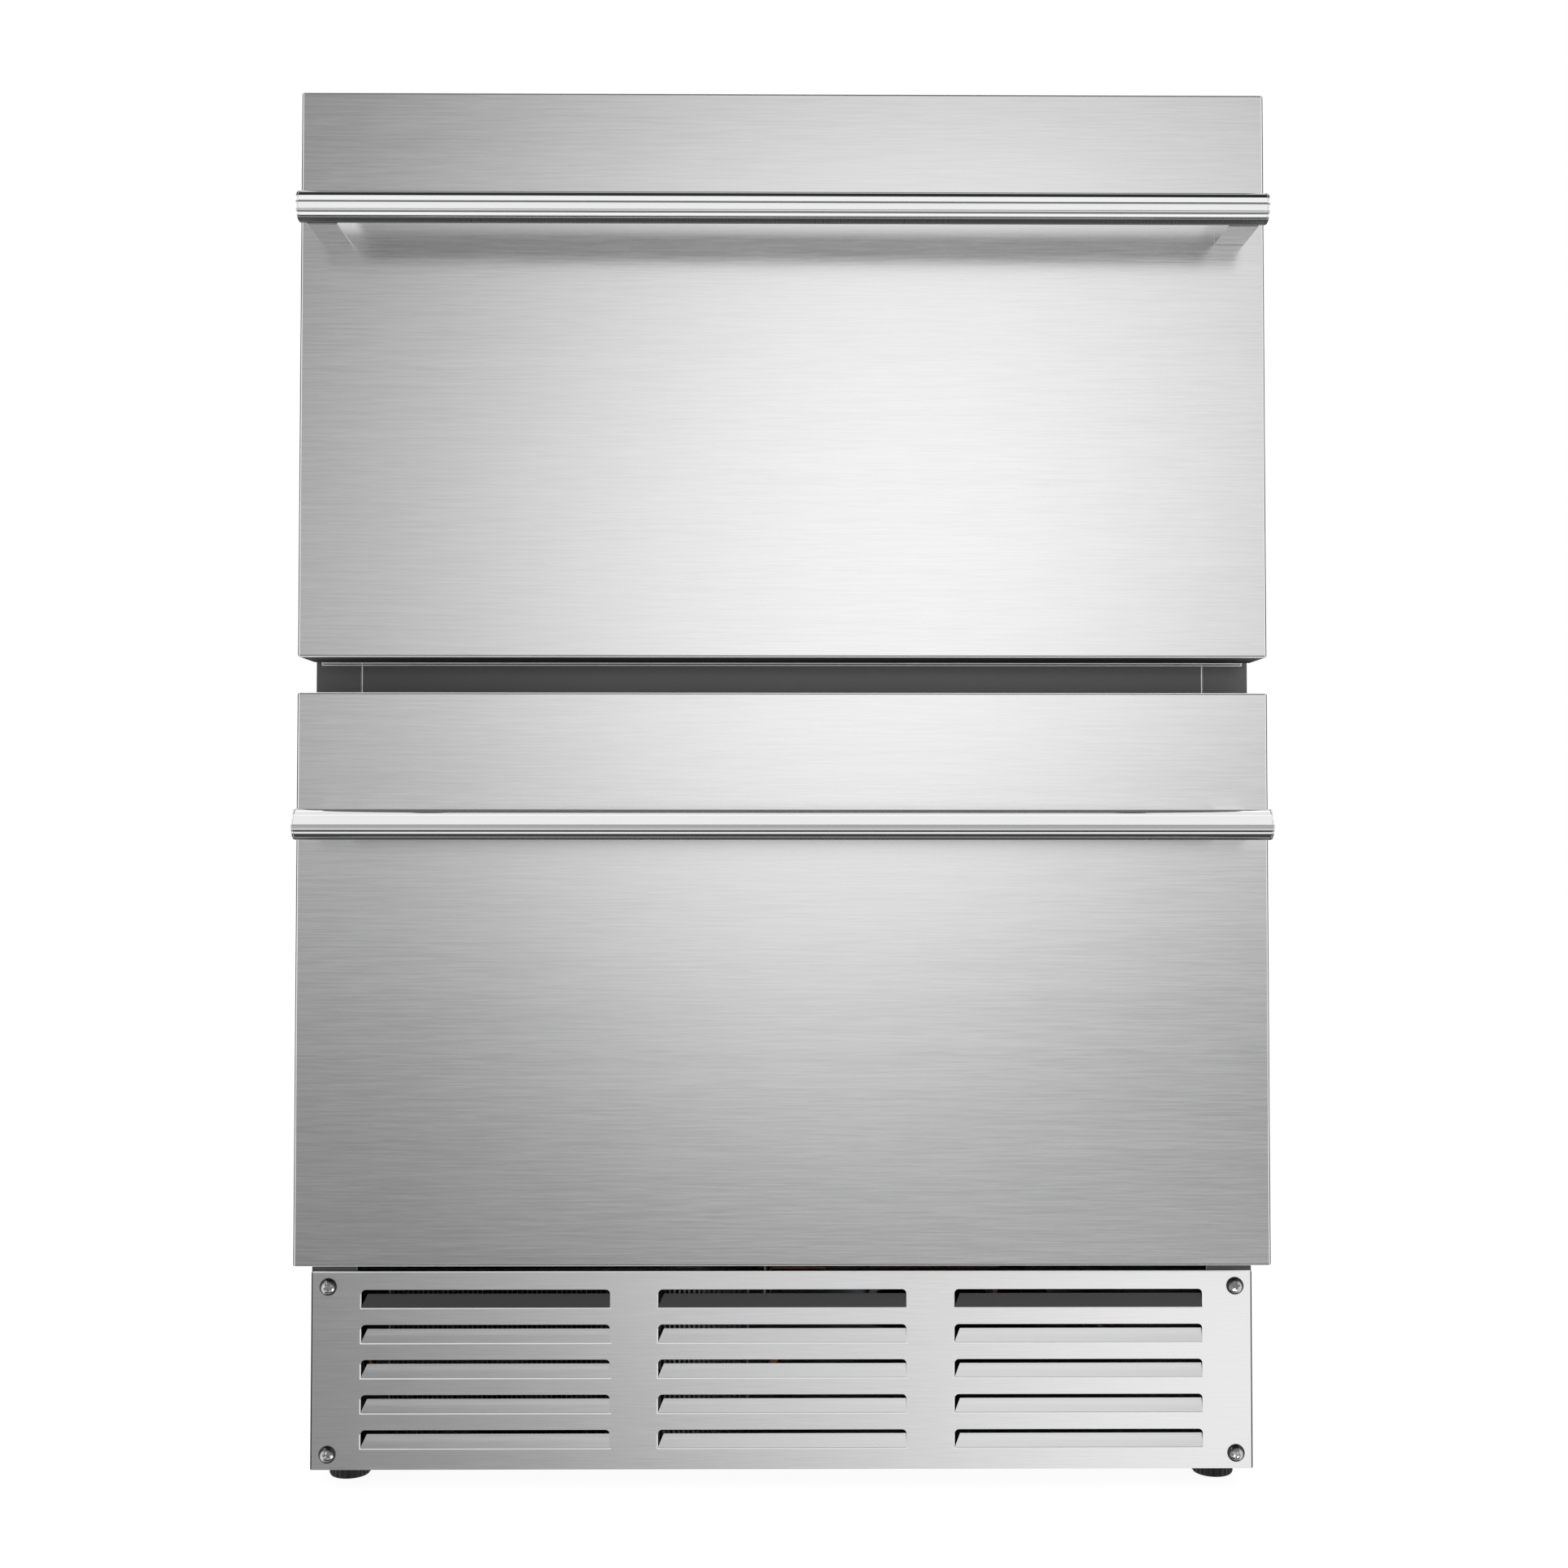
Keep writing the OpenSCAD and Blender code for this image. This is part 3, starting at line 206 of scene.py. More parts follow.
def brushed_steel(name, dark, light, rough, grain, spread, edges):
    """Steel with brush marks along X. edges(x, y, z) says where a highlight is painted on as a bright tone, and
    where shade is painted on as a near-black tone.
    """
    f = Finish(name)
    fine = f.noise((30, 30, 980 * grain), 3, 0.62)
    marks = f.steps(fine, [(0.34, 0.0), (0.66, 1.0)])
    bands = f.noise((2, 2, 110 * grain), 3, 0.55)
    lines = marks * 0.55 + bands * 0.45
    deep = f.noise((14, 14, 2600 * grain), 2, 0.5) > 0.71
    # Painted highlight (bright, less metallic) and painted shade (near black, rough, not metallic), both from
    # edges.
    painted_highlight, painted_shade = edges(*f.parts(f.place))
    return f.surface(f.tone(painted_shade, f.tone(painted_highlight, f.tone(lines, dark, light), grey(0.95)), grey(0.03)),
                     lines * 0.07 + deep * 0.04 + painted_shade * 0.6 + (rough - 0.04), 1 - (painted_highlight * 0.9).most(painted_shade),
                     fine, 0.00004, 0.22, Anisotropic=spread, Anisotropic_Rotation=0.25)


def pan_edges(x, y, z):
    """Painted highlight along the folds of both front pans. Painted shade on their sides' front rim and on the
    upper one's underside.
    """
    # Painted highlight: a thin band along the sides and along the top and bottom edges of both pans.
    near = abs(x) > FRONT_HIGH.x - 1.4 * MM
    for level in FRONT_EDGES_Z:
        near = near.most(abs(z - level) < EDGE * 0.75)
    # Painted shade: the sides' front rim and the upper pan's underside.
    rim = (abs(x) > FRONT_HIGH.x - 0.85 * MM) * (y < FRONT_Y + 3 * MM)
    under = (abs(z - FRONT_EDGES_Z[2]) < 0.3 * MM) * (y > FRONT_Y + 1.7 * MM)
    return near * (y < FRONT_Y + 6 * MM), rim.most(under)


def louvre_edges(x, y, z):
    """Painted highlight along the foot and the left of every louvre, and along the grille's top fold. Painted
    shade on its side rims.
    """
    across, up = x - LOUVRE_X, z - LOUVRE_Z
    u = x.bench.sum("FLOORED_MODULO", across + EDGE, LOUVRE["pitch_x"]) - EDGE
    v = x.bench.sum("FLOORED_MODULO", up + EDGE, LOUVRE["pitch_z"]) - EDGE
    # Painted highlight along the foot and the left edge of each louvre hole.
    foot = (v < 0.0) * (u < LOUVRE["width"] + EDGE)
    left = (u < 0.0) * (v < LOUVRE["height"] - LOUVRE["corner"])
    rows = (z < LOUVRE_Z + LOUVRE["rows"] * LOUVRE["pitch_z"] - 8 * MM) * (
        abs(x) < 1.45 * LOUVRE["pitch_x"])
    # Painted shade on the grille's side rims.
    rim = (abs(x) > GRILLE_HIGH.x - 0.8 * MM) * (y < GRILLE_LOW.y + 2 * MM)
    return (foot.most(left) * rows).most(z > GRILLE_HIGH.z - 0.8 * MM) * (y < GRILLE_LOW.y + 0.9 * MM), rim


def polished_steel(name, bars):
    """Mirror polish, with shade painted along the underside of the bars."""
    f = Finish(name)
    haze = f.noise((9, 30, 30), 4, 0.6)
    hairlines = f.noise((1800, 12, 12), 2, 0.5)
    _, y, z = f.parts(f.place)
    dark = 0.0
    for low, high in bars:
        up = (z - (high[2] + low[2]) / 2) / ((high[2] - low[2]) / 2)
        # Painted shade: near black and not metallic along the underside of each bar.
        dark = ((-0.8 - up) * 14.0).least(1.0).most(0.0) * (up > -1.1) * (y < high[1] + MM) + dark
    clean = f.tone(haze, (0.84, 0.84, 0.845), (0.9, 0.9, 0.905))
    return f.surface(f.tone(dark, clean, grey(0.05)), haze * 0.05 + hairlines * 0.03 + dark * 0.2 + 0.035,
                     1 - dark, hairlines, 0.000004, 0.15)


def screw_steel(places):
    """Plated steel with shade painted towards the rim of each head."""
    f = Finish("screw_steel")
    marks = f.noise(900, 3, 0.6)
    x, _, z = f.parts(f.place)
    painted_shade = 0.0
    for at_x, at_z in places:
        across, up = x - at_x, z - at_z
        out = f.sum("SQRT", across * across + (up + 0.5 * MM) * (up + 0.5 * MM)) / MM
        # Painted shade: a dark ring towards the rim of each screw head.
        painted_shade = ((out - 3.3) * 0.9).least(1.0).most(0.0) * (out < 9.0) + painted_shade
    plated = f.tone(marks, (0.74, 0.74, 0.75), (0.9, 0.9, 0.91))
    return f.surface(f.tone(painted_shade, plated, (0.06, 0.06, 0.062)), marks * 0.1 + 0.08, 1.0, marks, 0.00002, 0.3)


def painted_grey(seam_x):
    """Baked paint with a fine orange peel, and a painted highlight: a light line along the seam at seam_x."""
    f = Finish("painted_grey")
    peel = f.cells(620, feature="SMOOTH_F1")
    cloud = f.noise(7, 3, 0.5)
    x = f.parts(f.place)[0]
    # Painted highlight: a light, part-metallic line along the seam.
    painted_highlight = abs(abs(x) - seam_x) < 0.5 * MM
    paint = f.tone(cloud, (0.044, 0.044, 0.0445), (0.056, 0.056, 0.0565))
    return f.surface(f.tone(painted_highlight, paint, (0.62, 0.62, 0.63)), cloud * 0.08 + peel * 0.05 + 0.34, painted_highlight * 0.7,
                     peel, 0.00003, 0.25)


def zinc_steel():
    """Galvanised sheet with its large pale crystals."""
    f = Finish("zinc_steel")
    crystal = f.parts(f.cells(95, "Color"))[0]
    dust = f.noise(60, 4, 0.6)
    mix = crystal * 0.65 + dust * 0.35
    return f.surface(f.tone(mix, (0.47, 0.49, 0.51), (0.70, 0.72, 0.74)),
                     crystal * 0.16 + dust * 0.1 + 0.26, 1.0, f.cells(95, "Distance"), 0.00002, 0.3)


def foam():
    f = Finish("insulating_foam")
    cells = f.cells(520)
    age = f.noise(9, 4, 0.6)
    return f.surface(f.tone(age, (0.74, 0.59, 0.27), (0.86, 0.76, 0.46)), cells * 0.1 + 0.78, 0.0,
                     cells, 0.0007, 0.6)


def liner_plastic():
    f = Finish("liner_plastic")
    grain = f.cells(1300, feature="SMOOTH_F1")
    cloud = f.noise(5, 4, 0.55)
    return f.surface(f.tone(cloud, (0.73, 0.745, 0.755), (0.79, 0.80, 0.81)), cloud * 0.1 + grain * 0.05 + 0.28,
                     0.0, grain, 0.00004, 0.3, Subsurface_Weight=0.03, Subsurface_Radius=grey(0.004))


def soft_rubber(name, dark, light, rough):
    f = Finish(name)
    grain = f.noise(1600, 2, 0.5)
    bloom = f.noise(26, 4, 0.6)
    return f.surface(f.tone(bloom, dark, light), grain * 0.08 + bloom * 0.1 + rough, 0.0, grain, 0.00005, 0.35)


def moulded_black(name, tone, rough, grain_scale):
    f = Finish(name)
    grain = f.cells(grain_scale, feature="SMOOTH_F1")
    dust = f.noise(34, 5, 0.65)
    light = tuple(t * 1.9 + 0.006 for t in tone)
    return f.surface(f.tone(dust, tone, light), dust * 0.12 + grain * 0.08 + rough, 0.0, grain, 0.00006, 0.3)


def black_enamel():
    f = Finish("black_enamel")
    run = f.noise(40, 3, 0.5, 0.4)
    dust = f.noise(700, 2, 0.5)
    return f.surface(f.tone(run, (0.012, 0.012, 0.013), (0.03, 0.03, 0.031)), run * 0.1 + dust * 0.08 + 0.14,
                     0.0, run, 0.00012, 0.3, Coat_Weight=0.4)


def coil_metal():
    f = Finish("coil_metal")
    wave = f.noise((20, 20, 260), 3, 0.5)
    return f.surface(f.tone(wave, (0.60, 0.62, 0.64), (0.80, 0.82, 0.84)), wave * 0.15 + 0.3, 1.0,
                     wave, 0.00005, 0.3)


def copper_tube():
    f = Finish("copper_tube")
    patina = f.noise(48, 5, 0.62)
    tint = f.steps(patina, [(0.0, (0.36, 0.17, 0.10, 1)), (0.46, (0.72, 0.37, 0.22, 1)),
                            (1.0, (0.86, 0.50, 0.33, 1))])
    return f.surface(tint, patina * 0.25 + 0.18, 1.0, patina, 0.00003, 0.3)


def display_glass():
    f = Finish("display_glass")
    smear = f.noise((30, 30, 90), 4, 0.6)
    return f.surface(f.tone(smear, (0.006, 0.006, 0.008), (0.014, 0.015, 0.018)), smear * 0.1 + 0.04, 0.0,
                     smear, 0.000004, 0.2, Coat_Weight=0.6)


def lamp_cover():
    """Milky strip lens with fine cross ribs."""
    f = Finish("lamp_cover")
    x = f.parts(f.place)[0]
    ribs = f.sum("SINE", x * 2400)
    cloud = f.noise(30, 3, 0.5)
    return f.surface(f.tone(cloud, (0.80, 0.81, 0.82), (0.88, 0.885, 0.89)), cloud * 0.1 + 0.3, 0.0,
                     ribs, 0.0003, 0.6)


SEAM_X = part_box("mullion")[1][0]
EDGE = 0.8 * MM
FRONT_HIGH = Vector(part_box("upper_front_panel")[1])
FRONT_EDGES_Z = [level[2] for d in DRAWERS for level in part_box(d + "_front_panel")]
GRILLE_LOW, GRILLE_HIGH = ends("toe_grille")
SCREWS_LOW, SCREWS_HIGH = ends("grille_screws")
SCREW_R = 5.5 * MM
SCREW_PLACES = [(x, z) for x in (SCREWS_LOW.x + SCREW_R, SCREWS_HIGH.x - SCREW_R)
                for z in (SCREWS_LOW.z + SCREW_R, SCREWS_HIGH.z - SCREW_R)]
LOUVRE = {"width": 157.3 * MM, "height": 11.4 * MM, "corner": 2.6 * MM, "pitch_x": 187.8 * MM,
          "pitch_z": 22 * MM, "first_z": 121.5 * MM, "columns": 3, "rows": 5}
# Lower left corner of the lowest louvre on the left.
LOUVRE_X = -LOUVRE["pitch_x"] - LOUVRE["width"] / 2
LOUVRE_Z = LOUVRE["first_z"] - LOUVRE["height"] / 2 - (LOUVRE["rows"] - 1) * LOUVRE["pitch_z"]
FINISHES = {
    "brushed_front": brushed_steel("brushed_front", (0.73, 0.73, 0.735), (0.88, 0.88, 0.885), 0.25, 1.0, 0.5,
                                   pan_edges),
    "polished_steel": polished_steel("polished_steel", [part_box(d + "_handle_bar") for d in DRAWERS]),
    "post_steel": polished_steel("post_steel", []),
    "satin_grille": brushed_steel("satin_grille", (0.71, 0.71, 0.715), (0.85, 0.85, 0.855), 0.32, 1.3, 0.4,
                                  louvre_edges),
    "screw_steel": screw_steel(SCREW_PLACES),
    "painted_grey": painted_grey(SEAM_X),
    "zinc_steel": zinc_steel(),
    "insulation": foam(),
    "liner_plastic": liner_plastic(),
    "gasket_rubber": soft_rubber("gasket_rubber", (0.26, 0.265, 0.275), (0.34, 0.345, 0.355), 0.38),
    "foot_plastic": moulded_black("foot_plastic", (0.008, 0.008, 0.009), 0.34, 900),
    # Pale bead finish: painted highlight along the gasket lip and the pan's back edge.
    "gasket_highlight_beads": soft_rubber("gasket_highlight_beads", grey(0.84), grey(0.9), 0.3),
    "black_enamel": black_enamel(),
    "black_rubber": soft_rubber("black_rubber", grey(0.018), grey(0.035), 0.6),
    "black_plastic": moulded_black("black_plastic", (0.014, 0.014, 0.0155), 0.42, 700),
    "coil_metal": coil_metal(),
    "copper_tube": copper_tube(),
    "display_glass": display_glass(),
    "lamp_cover": lamp_cover(),
}


# Shapes

LIT = {}


def light_with(obj, group):
    """Puts a piece in one of the groups that have lamps of their own."""
    if group not in LIT:
        LIT[group] = bpy.data.collections.new("lit_" + group)
    LIT[group].objects.link(obj)


def shown(name, data):
    """An object in the scene, made of a mesh, lamp or lens, or of a bmesh, which is used up."""
    if isinstance(data, bmesh.types.BMesh):
        bm, data = data, bpy.data.meshes.new(name)
        bm.to_mesh(data)
        bm.free()
    obj = bpy.data.objects.new(name, data)
    bpy.context.scene.collection.objects.link(obj)
    return obj


def settle(name, source, material, nodes, body=None, group=None):
    """A finished piece from an evaluated object: a plain mesh at the origin that rides on its body."""
    mesh = bpy.data.meshes.new_from_object(source.evaluated_get(bpy.context.evaluated_depsgraph_get()))
    mesh.name = name
    bpy.data.objects.remove(source)
    mesh.materials.clear()
    mesh.materials.append(material)
    piece = shown(name, mesh)
    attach(piece, body or BODY_OF[nodes[0]])
    if nodes:
        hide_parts(*nodes)
    if group:
        light_with(piece, group)
    return piece


def round_off(source, width, segments, crease):
    """Rounds the sharp edges and keeps the flats flat."""
    if width:
        edge = source.modifiers.new("edge", "BEVEL")
        edge.width, edge.segments, edge.limit_method = width, segments, "ANGLE"
        edge.angle_limit = math.radians(crease)
    flats = source.modifiers.new("flats", "WEIGHTED_NORMAL")
    flats.keep_sharp = True


def piece(name, bm, material, *nodes, body=None, round_edges=0.0, crease=50, group=None):
    """A sheet or moulded piece from a bmesh, its sharp edges rounded and its flats kept flat."""
    bmesh.ops.remove_doubles(bm, verts=bm.verts, dist=1e-6)
    bmesh.ops.recalc_face_normals(bm, faces=bm.faces)
    source = shown(name, bm)
    source.data.shade_smooth()
    if not round_edges:
        source.data.set_sharp_from_angle(angle=math.radians(crease))
    round_off(source, round_edges, 3, crease)
    bpy.context.view_layer.update()
    return settle(name, source, material, nodes, body, group)


def block(bm, low, high):
    """A box between two corners."""
    made = bmesh.ops.create_cube(bm, size=1.0)["verts"]
    size, centre = Vector(high) - Vector(low), (Vector(high) + Vector(low)) / 2
    for v in made:
        v.co = v.co * size + centre
    return made


def skin(bm, loops, cap_first=True, cap_last=True):
    """Quads between closed loops of points, and a cap over each end."""
    rings = [[bm.verts.new(p) for p in loop] for loop in loops]
    for a, b in zip(rings, rings[1:]):
        for i, v in enumerate(a):
            j = (i + 1) % len(a)
            bm.faces.new((v, a[j], b[j], b[i]))
    if cap_first:
        bm.faces.new(tuple(reversed(rings[0])))
    if cap_last:
        bm.faces.new(tuple(rings[-1]))


AXES = {"x": Matrix(((0, 0, 1), (1, 0, 0), (0, 1, 0))), "y": Matrix(((0, 1, 0), (0, 0, 1), (1, 0, 0))),
        "z": Matrix.Identity(3)}


def turned(bm, profile, at, axis="z", steps=64, closed=False):
    """A turned shape: profile is (distance along the axis, radius) from one end to the other."""
    frame_of = AXES[axis]
    loops = []
    for along, r in profile:
        loops.append([Vector(at) + frame_of @ Vector((r * math.cos(2 * math.pi * i / steps),
                                                     r * math.sin(2 * math.pi * i / steps), along))
                      for i in range(steps)])
    if closed:
        loops.append(loops[0])
        skin(bm, loops, False, False)
    else:
        skin(bm, loops)


def rounded_rect(hx, hy, r, steps=6):
    """Points round a rectangle of half sizes hx and hy whose corners have radius r."""
    r = max(min(r, hx, hy), 1e-5)
    corners = ((hx - r, hy - r, 0), (r - hx, hy - r, 90), (r - hx, r - hy, 180), (hx - r, r - hy, 270))
    return [(cx + r * math.cos(math.radians(start + 90 * i / steps)),
             cy + r * math.sin(math.radians(start + 90 * i / steps)))
            for cx, cy, start in corners for i in range(steps + 1)]


def grown(name, material, sizes, layout, *nodes, body=None, round_edges=0.0, group=None):
    """A piece grown by Geometry Nodes: layout turns the named sizes into a shape."""
    tree = bpy.data.node_groups.new(name, "GeometryNodeTree")
    kinds = {int: "NodeSocketInt", float: "NodeSocketFloat", tuple: "NodeSocketVector"}
    sockets = {label: tree.interface.new_socket(label, in_out="INPUT", socket_type=kinds[type(value)])
               for label, value in sizes.items()}
    tree.interface.new_socket("Shape", in_out="OUTPUT", socket_type="NodeSocketGeometry")
    bench = Bench(tree)
    given = tree.nodes.new("NodeGroupInput")
    wires = {label: Wire(bench, given.outputs[label]) for label in sizes}
    real = bench.add("GeometryNodeRealizeInstances", feeds={0: layout(bench, wires)})
    dressed = bench.add("GeometryNodeSetMaterial", feeds={"Geometry": real, "Material": material})
    bench.add("NodeGroupOutput", feeds={0: dressed})
    source = shown(name, bpy.data.meshes.new(name))
    modifier = source.modifiers.new(name, "NODES")
    modifier.node_group = tree
    for label, value in sizes.items():
        modifier[sockets[label].identifier] = value
    source.update_tag()
    if round_edges:
        round_off(source, round_edges, 2, 60)
    bpy.context.view_layer.update()
    return settle(name, source, material, nodes, body, group)


def plate(bench, outline, holes, thick):
    """A sheet: the area inside a closed curve and outside the holes, given its thickness."""
    curves = bench.add("GeometryNodeJoinGeometry", feeds={0: outline})
    bench.feed(bench.last.inputs[0], holes)
    face = bench.add("GeometryNodeFillCurve", feeds={"Curve": curves})
    flipped = bench.add("GeometryNodeFlipFaces", feeds={0: face})
    raised = bench.add("GeometryNodeExtrudeMesh", {"mode": "FACES"}, {
        "Mesh": face, "Offset Scale": thick, "Individual": False})
    both = bench.add("GeometryNodeJoinGeometry", feeds={0: flipped})
    bench.feed(bench.last.inputs[0], raised)
    return bench.add("GeometryNodeMergeByDistance", feeds={"Geometry": both, "Distance": 1e-6})


def moved(bench, shape, shift=(0, 0, 0), turn=(0, 0, 0)):
    return bench.add("GeometryNodeTransform", feeds={"Geometry": shape, "Translation": shift, "Rotation": turn})


def joined(bench, *shapes):
    whole = bench.add("GeometryNodeJoinGeometry")
    for shape in shapes:
        bench.feed(bench.last.inputs[0], shape)
    return whole


# Drawer fronts and handles

def front_pan(d):
    """Folded steel pan: face, four returns with rounded bends, and a hem turned in at the back."""
    node = d + "_front_panel"
    low, high = ends(node)
    sheet = 1.2 * MM
    bm = bmesh.new()
    hx, hz = (high.x - low.x) / 2, (high.z - low.z) / 2
    cx, cz = (high.x + low.x) / 2, (high.z + low.z) / 2
    bend = 1.6 * MM
    section = []
    for i in range(6):
        a = math.radians(90 * i / 5)
        section.append((bend * (1 - math.sin(a)), low.y + bend * (1 - math.cos(a))))
    section += [(0, high.y - 0.4 * MM), (0.4 * MM, high.y), (sheet, high.y), (sheet, low.y + sheet)]
    loops = [[(cx + x, y, cz + z)
              for x, z in rounded_rect(hx - inset, hz - inset, 1.4 * MM - min(inset, 1 * MM), 3)]
             for inset, y in section]
    skin(bm, loops)
    return piece(d + "_front_pan", bm, FINISHES["brushed_front"], node, crease=40, group="fronts")


def handle(d):
    """Polished tube with a cap at each end, on two square posts."""
    low, high = ends(d + "_handle_bar")
    at, r, half = middle(d + "_handle_bar"), (high.z - low.z) / 2, (high.x - low.x) / 2
    wall, soft, lip = 1.5 * MM, 0.25 * MM, 0.5 * MM
    bm = bmesh.new()
    turned(bm, [(-half + soft, r), (half - soft, r), (half, r - soft), (half, r - wall), (-half, r - wall),
                (-half, r - soft)], at, "x", 96, closed=True)
    piece(d + "_bar", bm, FINISHES["polished_steel"], d + "_handle_bar", crease=25, group=d + "_chrome")
    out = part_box(d + "_handle_caps")[1][0] - at.x
    profile = [(half - 8 * MM, r - wall - FIT), (half + FIT, r - wall - FIT), (half + FIT, r - 0.3 * MM),
               (half + 0.35 * MM, r), (out - lip, r), (out - lip * 0.3, r - lip * 0.3), (out, r - lip),
               (out, r * 0.6), (out - 0.02 * MM, r * 0.3)]
    bm = bmesh.new()
    for side in (-1, 1):
        turned(bm, [(side * along, radius) for along, radius in profile], at, "x", 96)
    piece(d + "_bar_caps", bm, FINISHES["polished_steel"], d + "_handle_caps", crease=25, group=d + "_chrome")


def handle_posts(d):
    """Square posts, coped to sit round the bar."""
    node = d + "_handle_posts"
    low, high = ends(node)
    bar = middle(d + "_handle_bar")
    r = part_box(d + "_handle_bar")[1][2] - bar.z + FIT
    side = high.z - low.z
    bm = bmesh.new()
    for x in (low.x, high.x - side):
        outline = [(low.z, high.y), (low.z, low.y)]
        reach = math.acos(max(-1.0, min(1.0, (low.y - bar.y) / r)))
        for i in range(13):
            a = -reach + 2 * reach * i / 12
            outline.append((bar.z + r * math.sin(a), bar.y + r * math.cos(a)))
        outline += [(high.z, low.y), (high.z, high.y)]
        skin(bm, [[(x, y, z) for z, y in outline], [(x + side, y, z) for z, y in outline]])
    return piece(node + "_coped", bm, FINISHES["post_steel"], node, round_edges=0.5 * MM, crease=60,
                 group="fronts")


def tube(bm, path, r, sides=12, closed=False):
    """A round tube along points, mitred at each turn."""
    points = [Vector(p) for p in path]
    count = len(points)
    loops, side = [], None
    for i, p in enumerate(points):
        before = points[i - 1] if i or closed else None
        after = points[(i + 1) % count] if i < count - 1 or closed else None
        a = (p - before).normalized() if before is not None else (after - p).normalized()
        b = (after - p).normalized() if after is not None else a
        along = (a + b).normalized()
        if side is None:
            side = along.orthogonal().normalized()
        side = (side - along * side.dot(along)).normalized()
        other = along.cross(side)
        wide = 1 / max(0.4, math.sqrt((1 + a.dot(b)) / 2))
        out = (b - a).normalized() if (b - a).length > 1e-6 else Vector((0, 0, 0))
        ring = []
        for k in range(sides):
            turn = 2 * math.pi * k / sides
            reach = side * math.cos(turn) * r + other * math.sin(turn) * r
            ring.append(p + reach + out * reach.dot(out) * (wide - 1))
        loops.append(ring)
    if closed:
        loops.append(loops[0])
    skin(bm, loops, not closed, not closed)


def gasket_bellows(d):
    """Magnetic gasket: a flat lip on the cabinet, one soft fold behind it and a foot on the drawer."""
    node = d + "_gasket"
    low, high = ends(node)
    hx, hz, mid_z = high.x, (high.z - low.z) / 2, (high.z + low.z) / 2
    half = [(0.3, 0.0), (0, 0.4), (0, 2.4), (0.6, 2.9), (2.2, 3.3), (2.6, 4.2), (1.9, 5.4), (2.0, 6.8),
            (2.9, 8.4), (3.0, 9.6), (3.4, 10.0)]
    width = 14
    section = half + [(width - inset, back) for inset, back in reversed(half)]
    bm = bmesh.new()
    loops = [[(x, high.y - back * MM, mid_z + z)
              for x, z in rounded_rect(hx - inset * MM, hz - inset * MM, 2 * MM, 3)] for inset, back in section]
    skin(bm, loops + loops[:1], False, False)
    return piece(d + "_gasket_bellows", bm, FINISHES["gasket_rubber"], node, crease=55)


def gasket_highlight_beads(d):
    """Pale beads along the pan's back edge and along the lip that meets the cabinet: painted highlights on
    these edges.
    """
    low, high = ends(d + "_gasket")
    bm = bmesh.new()
    # Painted highlight: pale beads where the edges would catch the light.
    for y, x, drop in ((low.y + 0.2 * MM, high.x - 2.6 * MM, 0.95 * MM),
                       (high.y - 0.6 * MM, high.x - 0.6 * MM, 1.55 * MM)):
        z0, z1 = low.z - drop, high.z - 0.3 * MM
        tube(bm, [(-x, y, z0), (x, y, z0), (x, y, z1), (-x, y, z1)], 0.36 * MM, 10, True)
    return piece(d + "_gasket_piping", bm, FINISHES["gasket_highlight_beads"], body=BODY_OF[d + "_gasket"],
                 group="recess")


for drawer in DRAWERS:
    front_pan(drawer)
    handle(drawer)
    handle_posts(drawer)
    gasket_bellows(drawer)
    gasket_highlight_beads(drawer)


# Bins

def bin_tub(d):
    """Moulded tub with rounded corners, a rounded foot and a rim with a soft edge."""
    node = d + "_bin"
    low, high = ends(node)
    rim, wall, foot_r = 7 * MM, 1.6 * MM, 7 * MM
    hx, hy = (high.x - low.x) / 2 - rim, (high.y - low.y) / 2
    at_y = (high.y + low.y) / 2
    bend = [(1 - math.sin(math.radians(15 * i)), 1 - math.cos(math.radians(15 * i))) for i in range(7)]
    outside = [(foot_r * out, 0.0, low.z + foot_r * up) for out, up in bend]
    rim_up = [(0.0, 0.0, high.z - wall - 1.5 * MM), (-1 * MM, 0.0, high.z - wall),
              (-rim + 0.5 * MM, 0.0, high.z - wall), (-rim, 0.0, high.z - wall * 0.7),
              (-rim, 0.0, high.z - wall * 0.3), (-rim + 0.5 * MM, 0.0, high.z), (-1 * MM, 0.0, high.z),
              (wall, wall, high.z - 1.2 * MM)]
    inside = [(wall + (foot_r - wall) * out, wall, low.z + wall + (foot_r - wall) * up)
              for out, up in reversed(bend)]
    loops = []
    for inset_x, inset_y, z in outside + rim_up + inside:
        depth = inset_y + max(0.0, inset_x - inset_y)
        corner = max(2 * MM, 16 * MM - max(0.0, inset_x))
        loops.append([(x, at_y + y, z) for x, y in rounded_rect(hx - inset_x, hy - depth, corner, 8)])
    bm = bmesh.new()
    skin(bm, loops)
    return piece(d + "_bin_tub", bm, FINISHES["liner_plastic"], node, crease=40)


for drawer in DRAWERS:
    bin_tub(drawer)


# Toe grille

